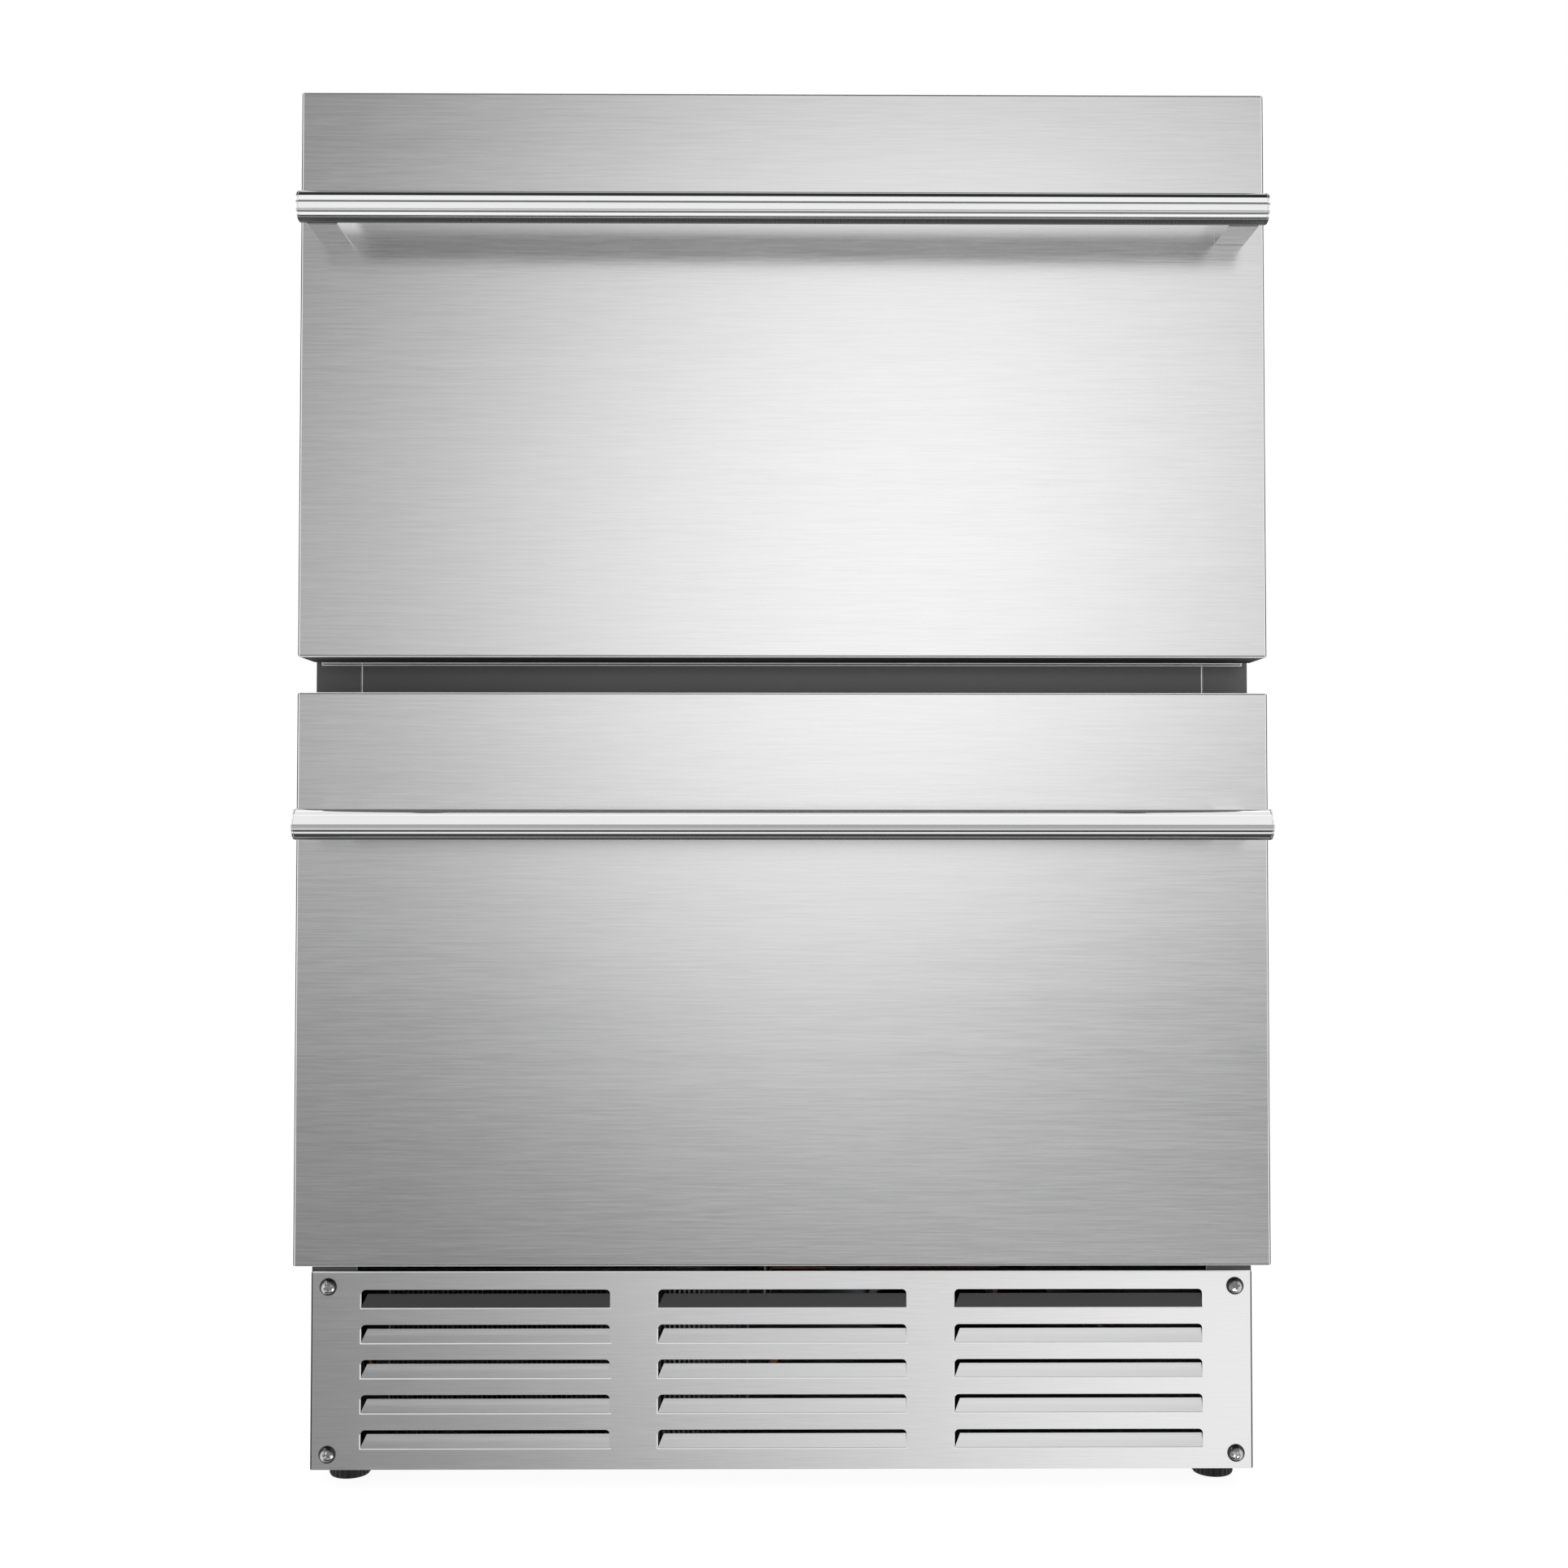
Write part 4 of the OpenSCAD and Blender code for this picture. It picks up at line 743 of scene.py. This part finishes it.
def grille():
    """Sheet with rows of louvre holes, each with a blade pressed in from its lower edge."""
    thick = 1.2 * MM
    front_y, mid_z = GRILLE_LOW.y, (GRILLE_LOW.z + GRILLE_HIGH.z) / 2
    rows_mid = LOUVRE["first_z"] - (LOUVRE["rows"] - 1) * LOUVRE["pitch_z"] / 2

    def grid(b, s):
        return b.add("GeometryNodeMeshGrid", feeds={
            0: s["Pitch across"] * (LOUVRE["columns"] - 1), 1: s["Pitch down"] * (s["Rows"] - 1.0),
            2: s["Columns"], 3: s["Rows"]})

    def sheet(b, s):
        outline = b.add("GeometryNodeCurvePrimitiveQuadrilateral", feeds={0: s["Width"], 1: s["Height"]})
        outline = b.add("GeometryNodeFilletCurve", feeds={"Curve": outline, "Radius": s["Corner"], "Count": 6})
        b.last.mode = "POLY"
        hole = b.add("GeometryNodeCurvePrimitiveQuadrilateral", feeds={
            0: s["Louvre width"], 1: s["Louvre height"]})
        upper = b.parts(b.add("GeometryNodeInputPosition"))[1] > 0.0
        hole = b.add("GeometryNodeFilletCurve", feeds={
            "Curve": hole, "Radius": upper * s["Louvre corner"] + 0.0001, "Count": 5})
        b.last.mode = "POLY"
        places = moved(b, grid(b, s), b.vector(0, s["Rows middle"], 0))
        holes = b.add("GeometryNodeInstanceOnPoints", feeds={"Points": places, "Instance": hole})
        flat = plate(b, outline, b.add("GeometryNodeRealizeInstances", feeds={0: holes}), s["Thickness"])
        return moved(b, flat, (0, front_y + thick, mid_z), (math.pi / 2, 0, 0))

    shared = {"Louvre width": LOUVRE["width"], "Louvre height": LOUVRE["height"], "Columns": LOUVRE["columns"],
              "Pitch across": LOUVRE["pitch_x"], "Pitch down": LOUVRE["pitch_z"], "Thickness": thick}
    grown("grille_sheet", FINISHES["satin_grille"], {
        "Width": 2 * GRILLE_HIGH.x, "Height": GRILLE_HIGH.z - GRILLE_LOW.z, "Corner": 1 * MM,
        "Louvre corner": LOUVRE["corner"], "Rows middle": rows_mid - mid_z, "Rows": LOUVRE["rows"], **shared},
        sheet, "toe_grille", round_edges=0.3 * MM, group="toe")

    def blades(b, s):
        flat = b.add("GeometryNodeMeshGrid", feeds={0: s["Louvre width"], 1: s["Rise"], 2: 40, 3: 5})
        x, z, _ = b.parts(b.add("GeometryNodeInputPosition"))
        up = z / s["Rise"] + 0.5
        shaped = b.add("GeometryNodeSetPosition", feeds={
            "Geometry": flat, "Position": b.vector(x + up * (0.5 - x / s["Louvre width"]) * s["End slant"],
                                                  up * s["Lean"], z + s["Rise"] * 0.5)})
        raised = b.add("GeometryNodeExtrudeMesh", {"mode": "FACES"}, {
            "Mesh": shaped, "Offset Scale": s["Thickness"], "Individual": False})
        back = b.add("GeometryNodeFlipFaces", feeds={0: shaped})
        blade = b.add("GeometryNodeMergeByDistance", feeds={
            "Geometry": joined(b, back, raised), "Distance": 1e-6})
        places = moved(b, grid(b, s), b.vector(0, 0, s["Rows middle"]), (math.pi / 2, 0, 0))
        blades = b.add("GeometryNodeInstanceOnPoints", feeds={"Points": places, "Instance": blade})
        return moved(b, blades, (0, front_y + 0.3 * MM, 0))

    sill = LOUVRE["first_z"] - LOUVRE["height"] / 2
    lower_mid = sill - LOUVRE["rows"] * LOUVRE["pitch_z"] / 2
    # The top row of blades takes the dark grey paint as painted shade, for the shade under the lower drawer.
    for name, finish, rows, mid in (("grille_blades", "satin_grille", LOUVRE["rows"] - 1, lower_mid),
                                    ("grille_top_blades", "painted_grey", 1, sill)):
        grown(name, FINISHES[finish], {
            "Rise": 7.9 * MM, "Lean": 3 * MM, "End slant": 3.6 * MM, "Rows": rows, "Rows middle": mid, **shared,
            "Thickness": 1.1 * MM}, blades, "toe_grille", group="toe")
    bm = bmesh.new()
    flange_x, depth = 269.1 * MM, 10 * MM
    for x0, x1, z in ((-flange_x, flange_x, GRILLE_LOW.z), (-flange_x, -55 * MM, GRILLE_HIGH.z - thick),
                      (27.4 * MM, flange_x, GRILLE_HIGH.z - thick)):
        block(bm, (x0, front_y + 0.2 * MM, z), (x1, front_y + depth, z + thick))
    piece("grille_returns", bm, FINISHES["satin_grille"], "toe_grille", round_edges=0.4 * MM, group="toe")


grille()


# Grille screws

def screw_head(r, high):
    """Domed head with a tapered cross recess."""
    bm = bmesh.new()
    slopes = [math.radians(a) for a in (8, 18, 30, 42, 54, 66, 78)]
    dome = [(-0.3 * MM, r), (0.0, r)] + [(high * math.sin(a) ** 0.8, r * math.cos(a)) for a in slopes]
    dome.append((high, r * 0.06))
    turned(bm, [(-along, radius) for along, radius in dome], (0, 0, 0), "y", 48)
    bmesh.ops.recalc_face_normals(bm, faces=bm.faces)
    head = shown("screw_head", bm)
    head.data.shade_smooth()
    bm = bmesh.new()
    deep, wide, slim = high * 0.62, r * 0.58, r * 0.14
    for w, h in ((wide, slim), (slim, wide)):
        skin(bm, [[(x * w * k, y, z * h * k) for x, z in ((-1, -1), (1, -1), (1, 1), (-1, 1))]
                  for y, k in ((-high * 1.3, 1.12), (-high + deep, 0.62))])
    bmesh.ops.recalc_face_normals(bm, faces=bm.faces)
    cutter = shown("screw_recess", bm)
    cut = head.modifiers.new("recess", "BOOLEAN")
    cut.operation, cut.object, cut.solver, cut.use_self = "DIFFERENCE", cutter, "EXACT", True
    bpy.context.view_layer.update()
    made = bpy.data.meshes.new_from_object(head.evaluated_get(bpy.context.evaluated_depsgraph_get()))
    for obj in (head, cutter):
        bpy.data.objects.remove(obj)
    made.set_sharp_from_angle(angle=math.radians(40))
    return made


def grille_screws():
    """The same head at four places, each turned its own way."""
    middle_x, middle_z = (SCREWS_LOW.x + SCREWS_HIGH.x) / 2, (SCREWS_LOW.z + SCREWS_HIGH.z) / 2
    pattern = shown("screw_pattern", screw_head(SCREW_R, 2.8 * MM))

    def heads(b, s):
        b.add("GeometryNodeObjectInfo", feeds={"Object": pattern, "As Instance": True})
        head = Wire(b, b.last.outputs["Geometry"])
        places = b.add("GeometryNodeMeshGrid", feeds={0: s["Spread across"], 1: s["Spread up"], 2: 2, 3: 2})
        places = moved(b, places, (0, 0, 0), (math.pi / 2, 0, 0))
        turns = b.add("FunctionNodeRandomValue", {"data_type": "FLOAT"}, {
            "Min_001": -0.5, "Max_001": 0.5, "Seed": s["Seed"]}, "Value_001")
        heads = b.add("GeometryNodeInstanceOnPoints", feeds={
            "Points": places, "Instance": head, "Rotation": b.vector(0, turns, 0)})
        return moved(b, heads, (middle_x, GRILLE_LOW.y, middle_z))

    made = grown("grille_screw_heads", FINISHES["screw_steel"], {
        "Spread across": SCREWS_HIGH.x - SCREWS_LOW.x - 2 * SCREW_R,
        "Spread up": SCREWS_HIGH.z - SCREWS_LOW.z - 2 * SCREW_R, "Seed": 4}, heads,
        "grille_screws", group="screws")
    bpy.data.objects.remove(pattern)
    return made


grille_screws()


# Cold machine

def coil(node):
    """Stack of thin fins on rows of tube, with an end plate and return bends at each side."""
    low, high = ends(node)
    bend_r, leg, tube_r, plate_t = 12 * MM, 6 * MM, 4 * MM, 1.5 * MM
    reach = bend_r + leg + tube_r
    x0, x1 = low.x + reach, high.x - reach
    top, height = high.z, COIL_HEIGHT[node]
    rows = int((height - 8 * MM) / (48 * MM))
    mid_y = (low.y + high.y) / 2

    def layout(b, s):
        fin = b.add("GeometryNodeMeshCube", feeds={"Size": s["Fin size"]})
        row = b.add("GeometryNodeMeshLine", feeds={"Count": s["Fins"], "Offset": (FIN_PITCH, 0, 0)})
        fins = b.add("GeometryNodeInstanceOnPoints", feeds={"Points": row, "Instance": fin})
        return moved(b, fins, (x0 + FIN_PITCH / 2, mid_y, top - height / 2))

    grown(node + "_fins", FINISHES["coil_metal"], {
        "Fin size": (0.35 * MM, high.y - low.y - 1 * MM, height - 1 * MM), "Fins": int((x1 - x0) / FIN_PITCH)},
        layout, node)
    bm = bmesh.new()
    for x in (x0 - plate_t, x1):
        block(bm, (x, low.y, low.z), (x + plate_t, high.y, top))
    piece(node + "_plates", bm, FINISHES["coil_metal"], node, round_edges=0.3 * MM)
    bm = bmesh.new()
    for i in range(rows):
        z = top - height / 2 + (2 * i - rows + 1) * 24 * MM
        for lift in (-bend_r, bend_r):
            tube(bm, [(x0 - leg, mid_y, z + lift), (x1 + leg, mid_y, z + lift)], tube_r, 16)
        for x, side in ((x0 - leg, -1), (x1 + leg, 1)):
            bend = [(x + side * bend_r * math.cos(a), mid_y, z + bend_r * math.sin(a))
                    for a in map(math.radians, range(-90, 91, 15))]
            tube(bm, bend, tube_r, 16)
    piece(node + "_tubes", bm, FINISHES["copper_tube"], node, crease=60)


def fan_rotor(node):
    """Hub with a domed nose and seven blades whose pitch eases towards the tip."""
    low, high = ends(node)
    mid, tip = (low + high) / 2, (high.x - low.x) / 2
    hub, deep = (tip + 2 * MM) * 0.4, high.y - low.y
    bm = bmesh.new()
    turned(bm, [(deep, hub - 0.8 * MM), (deep * 0.9, hub), (deep * 0.25, hub), (deep * 0.08, hub - 1.6 * MM),
                (0.0, hub - 5 * MM), (0.0, 3 * MM)], (mid.x, low.y, mid.z), "y", 64)
    for k in range(7):
        turn = 2 * math.pi * k / 7
        rings = []
        for i in range(9):
            r = hub * 0.92 + (tip - hub * 0.92) * i / 8
            pitch = math.radians(44 - 18 * i / 8)
            sweep = 0.16 * i / 8
            span = deep * 0.46 / math.sin(pitch) * (1.0 if i < 7 else 0.88 - 0.14 * (i - 7))
            ring = []
            for face in (1, -1):
                for j in range(9):
                    c = -1 + j / 4 if face == 1 else 1 - j / 4
                    thick = 0.8 * MM * math.sqrt(max(0.0, 1 - c * c * 0.97)) * face
                    camber = 1.4 * MM * (1 - c * c)
                    along, off = c * span, thick + camber
                    angle = turn + sweep + (along * math.cos(pitch) - off * math.sin(pitch)) / r
                    y = mid.y + along * math.sin(pitch) + off * math.cos(pitch)
                    y = min(high.y, max(low.y, y))
                    ring.append((mid.x + r * math.cos(angle), y, mid.z + r * math.sin(angle)))
            rings.append(ring)
        skin(bm, rings)
    return piece(node + "_blades", bm, FINISHES["black_plastic"], node, crease=45)


def compressor():
    """Welded can with a domed lid and base, a seam flange and a foot plate."""
    low, high = ends("compressor")
    mid, r, lip, plate_t = (low + high) / 2, 64 * MM, 1.2 * MM, 3 * MM
    seam = low.z + (high.z - low.z) * 0.56
    profile = [(low.z + 1 * MM, r * 0.55), (low.z + 3 * MM, r * 0.78), (low.z + 9 * MM, r - 7 * MM),
               (low.z + 18 * MM, r - 2.5 * MM), (low.z + 28 * MM, r - lip), (seam - 2.4 * MM, r - lip),
               (seam - 2 * MM, r), (seam + 2 * MM, r), (seam + 2.4 * MM, r - lip)]
    dome = high.z - seam - 2.4 * MM
    for i in range(1, 15):
        a = math.radians(90 * i / 14)
        profile.append((high.z - dome * (1 - math.sin(a) ** 0.9),
                        max(0.5 * MM, (r - lip) * math.cos(a) ** 0.42)))
    bm = bmesh.new()
    turned(bm, [(z - mid.z, radius) for z, radius in profile], mid, "z", 96)
    piece("compressor_can", bm, FINISHES["black_enamel"], "compressor", crease=35)
    bm = bmesh.new()
    outline = rounded_rect(75 * MM, 55 * MM, 10 * MM, 5)
    skin(bm, [[(mid.x + x, mid.y + y, z) for x, y in outline] for z in (low.z, low.z + plate_t)])
    piece("compressor_foot", bm, FINISHES["black_enamel"], "compressor", round_edges=0.5 * MM)


FIN_PITCH = 3.2 * MM
COIL_HEIGHT = {"condenser": 100 * MM, "evaporator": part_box("evaporator")[1][2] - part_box("evaporator")[0][2]}
for node in COIL_HEIGHT:
    coil(node)
for node in ("condenser_fan_rotor", "evaporator_fan_rotor"):
    fan_rotor(node)
compressor()


# Feet

def foot(node):
    """Glossy knob with ribs round it, on a threaded stud."""
    low, high = ends(node)
    r, knob_h, stud_r = (high.x - low.x) / 2, KNOB_H, 5 * MM
    at = ((low.x + high.x) / 2, (low.y + high.y) / 2, low.z)

    def layout(b, s):
        knob = b.add("GeometryNodeMeshCylinder", {"fill_type": "NGON"}, {
            "Vertices": 96, "Radius": s["Knob radius"] - s["Rib"] * 0.6, "Depth": s["Knob height"]}, "Mesh")
        rib = b.add("GeometryNodeMeshCylinder", {"fill_type": "NGON"}, {
            "Vertices": 12, "Radius": s["Rib"], "Depth": s["Knob height"] * 0.9}, "Mesh")
        ring = b.add("GeometryNodeCurvePrimitiveCircle", feeds={
            "Resolution": s["Ribs"], "Radius": s["Knob radius"] - s["Rib"]}, out="Curve")
        ribs = b.add("GeometryNodeInstanceOnPoints", feeds={"Points": ring, "Instance": rib})
        plain_stud = b.add("GeometryNodeMeshCylinder", {"fill_type": "NGON"}, {
            "Vertices": 32, "Radius": stud_r * 0.9, "Depth": high.z - low.z - 0.2 * MM}, "Mesh")
        crest = b.add("GeometryNodeMeshCone", feeds={
            "Vertices": 32, "Side Segments": 1, "Radius Top": stud_r * 0.86, "Radius Bottom": stud_r,
            "Depth": 0.7 * MM}, out="Mesh")
        turns = b.add("GeometryNodeMeshLine", feeds={"Count": s["Threads"], "Offset": (0, 0, 1.5 * MM)})
        thread = b.add("GeometryNodeInstanceOnPoints", feeds={"Points": turns, "Instance": crest})
        return moved(b, joined(b, moved(b, joined(b, knob, ribs), (0, 0, knob_h / 2)),
                               moved(b, plain_stud, (0, 0, (high.z - low.z) / 2)),
                               moved(b, thread, (0, 0, knob_h + MM))), at)

    return grown(node + "_ribbed", FINISHES["foot_plastic"], {
        "Knob radius": r, "Knob height": knob_h, "Rib": 1.1 * MM, "Ribs": 24,
        "Threads": int((high.z - low.z - knob_h) / (1.5 * MM)) - 1}, layout, node, round_edges=0.25 * MM)


KNOB_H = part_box("base_pan")[0][2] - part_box("foot_front_left")[0][2] - 0.2 * MM
for node in ("foot_front_left", "foot_front_right", "foot_rear_left", "foot_rear_right"):
    foot(node)


# Finishes of the CAD nodes that keep their shape

for name, node in frame["nodes"].items():
    for holder in node.material_slots:
        holder.material = FINISHES[SLOT_OF[name]]
for name in ("cabinet_shell", "mullion", "deck_panel"):
    light_with(frame["nodes"][name], "recess")


# Camera

def camera():
    lens = bpy.data.cameras.new("camera")
    lens.sensor_width, lens.lens = 36.0, 41.97
    lens.shift_x, lens.shift_y = 0.0005, -0.0085
    lens.clip_start = 0.05
    pitch, yaw, roll = 0.0286, 0.0070, -0.0004
    ahead = Vector((math.sin(yaw) * math.cos(pitch), math.cos(yaw) * math.cos(pitch), math.sin(pitch)))
    right = Vector((math.cos(yaw), -math.sin(yaw), 0))
    down = ahead.cross(right)
    level, slant = math.cos(roll), math.sin(roll)
    right, down = right * level + down * slant, down * level - right * slant
    holder = shown("camera", lens)
    turn = Matrix((right, -down, -ahead)).transposed().to_4x4()
    holder.matrix_world = Matrix.Translation((-0.00776, FRONT_Y - 1.12112, 0.4227)) @ turn
    bpy.context.scene.camera = holder


# Studio

# Soft glows on the cards out in front: (across, up, level).
FRONT_GLOW = ((0.45, -0.7, 0.15), (0.9, -0.7, 0.2), (1.35, -0.25, 0.07), (-1.35, 0.2, 0.14),
              (-0.45, 0.2, 0.08), (0, 0.2, 0.41), (0.45, 0.2, 0.16), (-1.35, 0.65, 0.28), (-0.45, 0.65, 0.32),
              (0, 0.65, 0.27), (0.45, 0.65, 0.5), (0.9, 0.65, 0.29), (1.35, 0.65, 0.1), (-0.9, 1.1, 0.06),
              (-0.45, 1.1, 0.23), (0, 1.1, 0.33), (0.45, 1.1, 0.29), (0.9, 1.1, 0.11), (1.35, 1.1, 0.3),
              (-0.45, 1.55, 0.17), (0, 1.55, 0.36), (0.45, 1.55, 0.41), (0.9, 1.55, 0.32), (0, 2, 0.07),
              (0.45, 2, 0.08), (0.9, 2, 0.05), (1.35, 2, 0.2))
TOE_GLOW = ((-0.25, 1.1, 0.35), (0.15, 1.1, 0.75), (0.6, 1.1, 0.8), (1.05, 1.1, 0.6), (-0.45, 0.2, 0.211),
            (0, -0.25, 0.945), (0.45, -1.2, 0.806), (0.9, -0.7, 0.721), (0.9, -0.25, 0.982),
            (1.35, -1.2, 0.763))
GLOW_SPREAD = 0.32
# What metal sees from straight behind, under the floor, ahead, up and back again: (tilt in degrees, level).
PANELS = ((-180, 0.05), (-74, 0.05), (-71, 0.36), (-58, 0.36), (-56, 0.02), (-41.5, 0.02), (-39.5, 0.62),
          (-37, 0.62), (-30, 0.2), (-9, 0.22), (2, 0.2), (73, 0.2), (76, 0.03), (180, 0.03))


def studio():
    """White for the eye. For metal: light and dark panels ahead, and a light room at the sides and behind."""
    world = bpy.data.worlds.new("studio")
    world.use_nodes = True
    bpy.context.scene.world = world
    world.cycles.sampling_method = "NONE"
    b = Bench(world.node_tree)
    x, y, z = b.parts(b.add("ShaderNodeTexCoord", out="Generated"))
    tilt = b.sum("ARCTAN2", z, 0 - y) / math.tau + 0.5
    panels = b.add("ShaderNodeValToRGB", {"stops": [((a + 180) / 360, v) for a, v in PANELS]}, {0: tilt})
    b.add("ShaderNodeLightPath")
    path = b.last.outputs
    camera_ray, glossy_ray = Wire(b, path["Is Camera Ray"]), Wire(b, path["Is Glossy Ray"])
    clear_ray = Wire(b, path["Is Transmission Ray"])
    aside = ((abs(x) - 0.4) * 6.0).most((y - 0.3) * 6.0).most(0.0).least(1.0)
    around = b.mix(aside, panels, (0.72, 0.72, 0.72, 1))
    light = b.mix(glossy_ray, (0.78, 0.78, 0.78, 1), around)
    seen = b.mix(camera_ray.most(clear_ray), light, (1, 1, 1, 1))
    backdrop = b.add("ShaderNodeBackground", feeds={"Color": seen, "Strength": 1.0})
    b.add("ShaderNodeOutputWorld", feeds={"Surface": backdrop})


def softbox(name, at, aim, size, level, group=None):
    """A flat lamp of that brightness, facing aim. Given a group, it lights only that, reflections included."""
    lamp = bpy.data.lights.new(name, "AREA")
    lamp.shape, lamp.size, lamp.size_y = "RECTANGLE", size[0], size[1]
    lamp.energy = level * math.pi * size[0] * size[1]
    holder = shown(name, lamp)
    turn = (Vector(aim) - Vector(at)).to_track_quat("-Z", "Y").to_matrix().to_4x4()
    holder.matrix_world = Matrix.Translation(at) @ turn
    holder.visible_camera = False
    if group:
        holder.light_linking.receiver_collection = LIT[group]
    else:
        holder.visible_glossy = False


def light_card(name, group, ahead, glows):
    """A clear card out in front with soft glows on it, seen only in the metal of one group."""
    f = Finish(name)
    x, _, z = f.parts(f.place)
    level = 0.0
    for across, up, strength in glows:
        dx, dz = (x - across) / GLOW_SPREAD, (z - up) / GLOW_SPREAD
        level = f.sum("EXPONENT", (dx * dx + dz * dz) * -0.5) * strength + level
    glow = f.add("ShaderNodeEmission", feeds={"Color": level, "Strength": 1.0})
    clear = f.add("ShaderNodeBsdfTransparent", feeds={"Color": (1, 1, 1, 1)})
    both = f.add("ShaderNodeAddShader", feeds={0: glow, 1: clear})
    f.add("ShaderNodeOutputMaterial", feeds={"Surface": both})
    bm = bmesh.new()
    y = FRONT_Y - ahead
    bm.faces.new([bm.verts.new(p) for p in ((-3.2, y, -2.2), (3.2, y, -2.2), (3.2, y, 3.4), (-3.2, y, 3.4))])
    card = shown(name, bm)
    card.data.materials.append(f.material)
    card.visible_camera = card.visible_diffuse = card.visible_shadow = card.visible_transmission = False
    card.light_linking.receiver_collection = LIT[group]


def strips(d, bands):
    """Long lamps round a bar, each seen only by it: (from tilt, to tilt, level)."""
    centre, far = middle(d + "_handle_bar"), 6.0
    for low, high, level in bands:
        mid, half = math.radians((low + high) / 2), math.radians((high - low) / 2)
        at = centre + far * Vector((0, -math.cos(mid), math.sin(mid)))
        softbox("%s_strip_%d" % (d, mid * 60), at, centre, (26, 2 * far * math.tan(half)), level, d + "_chrome")


def floor():
    """Pale floor: white to the eye, with the soft shadow of what stands on it."""
    f = Finish("studio_floor")
    grain = f.noise(2.5, 3, 0.5)
    matte = f.add("ShaderNodeBsdfDiffuse", feeds={"Color": f.tone(grain, grey(0.86), grey(0.9))})
    glow = f.add("ShaderNodeEmission", feeds={"Color": (1, 1, 1, 1), "Strength": 0.93})
    faint = f.add("ShaderNodeBsdfDiffuse", feeds={"Color": (0.12, 0.12, 0.12, 1)})
    lit = f.add("ShaderNodeAddShader", feeds={0: glow, 1: faint})
    f.add("ShaderNodeLightPath")
    eye = Wire(f, f.last.outputs["Is Camera Ray"])
    both = f.add("ShaderNodeMixShader", feeds={0: eye, 1: matte, 2: lit})
    f.add("ShaderNodeOutputMaterial", feeds={"Surface": both})
    bm = bmesh.new()
    bmesh.ops.create_grid(bm, x_segments=8, y_segments=8, size=9)
    ground = shown("studio_floor", bm)
    ground.data.materials.append(f.material)
    ground.visible_glossy = ground.visible_shadow = False


camera()
studio()
softbox("key_softbox", (1.6, -2.6, 2.4), (0, 0, 0.45), (1.8, 1.4), 3.2)
softbox("fill_softbox", (-2.4, -0.6, 1.8), (0, 0, 0.4), (1.6, 1.6), 1.6)
strips("upper", ((-124, -111, 0.25), (-80, -55, 0.72), (-53, -31, 0.2), (-28, 17, 0.74), (32, 73, 0.8)))
strips("lower", ((-76, -58, 0.5), (-47, -8, 0.25), (-3, 60, 0.75), (61, 121, 0.88)))
light_card("front_card", "fronts", 2.2, FRONT_GLOW)
light_card("toe_card", "toe", 2.22, TOE_GLOW)
softbox("recess_lamp", (0.2, FRONT_Y - 2.0, 0.45), (0, FRONT_Y, 0.5), (1.6, 0.9), 2.8, "recess")
softbox("screw_lamp_high", (-1.4, FRONT_Y - 1.6, 1.5), (0, FRONT_Y, 0.08), (0.9, 0.9), 2.6, "screws")
softbox("screw_lamp_low", (0.5, FRONT_Y - 1.2, -0.7), (0, FRONT_Y, 0.08), (0.7, 0.5), 2.0, "screws")
floor()
bpy.context.scene.view_settings.view_transform = "Standard"
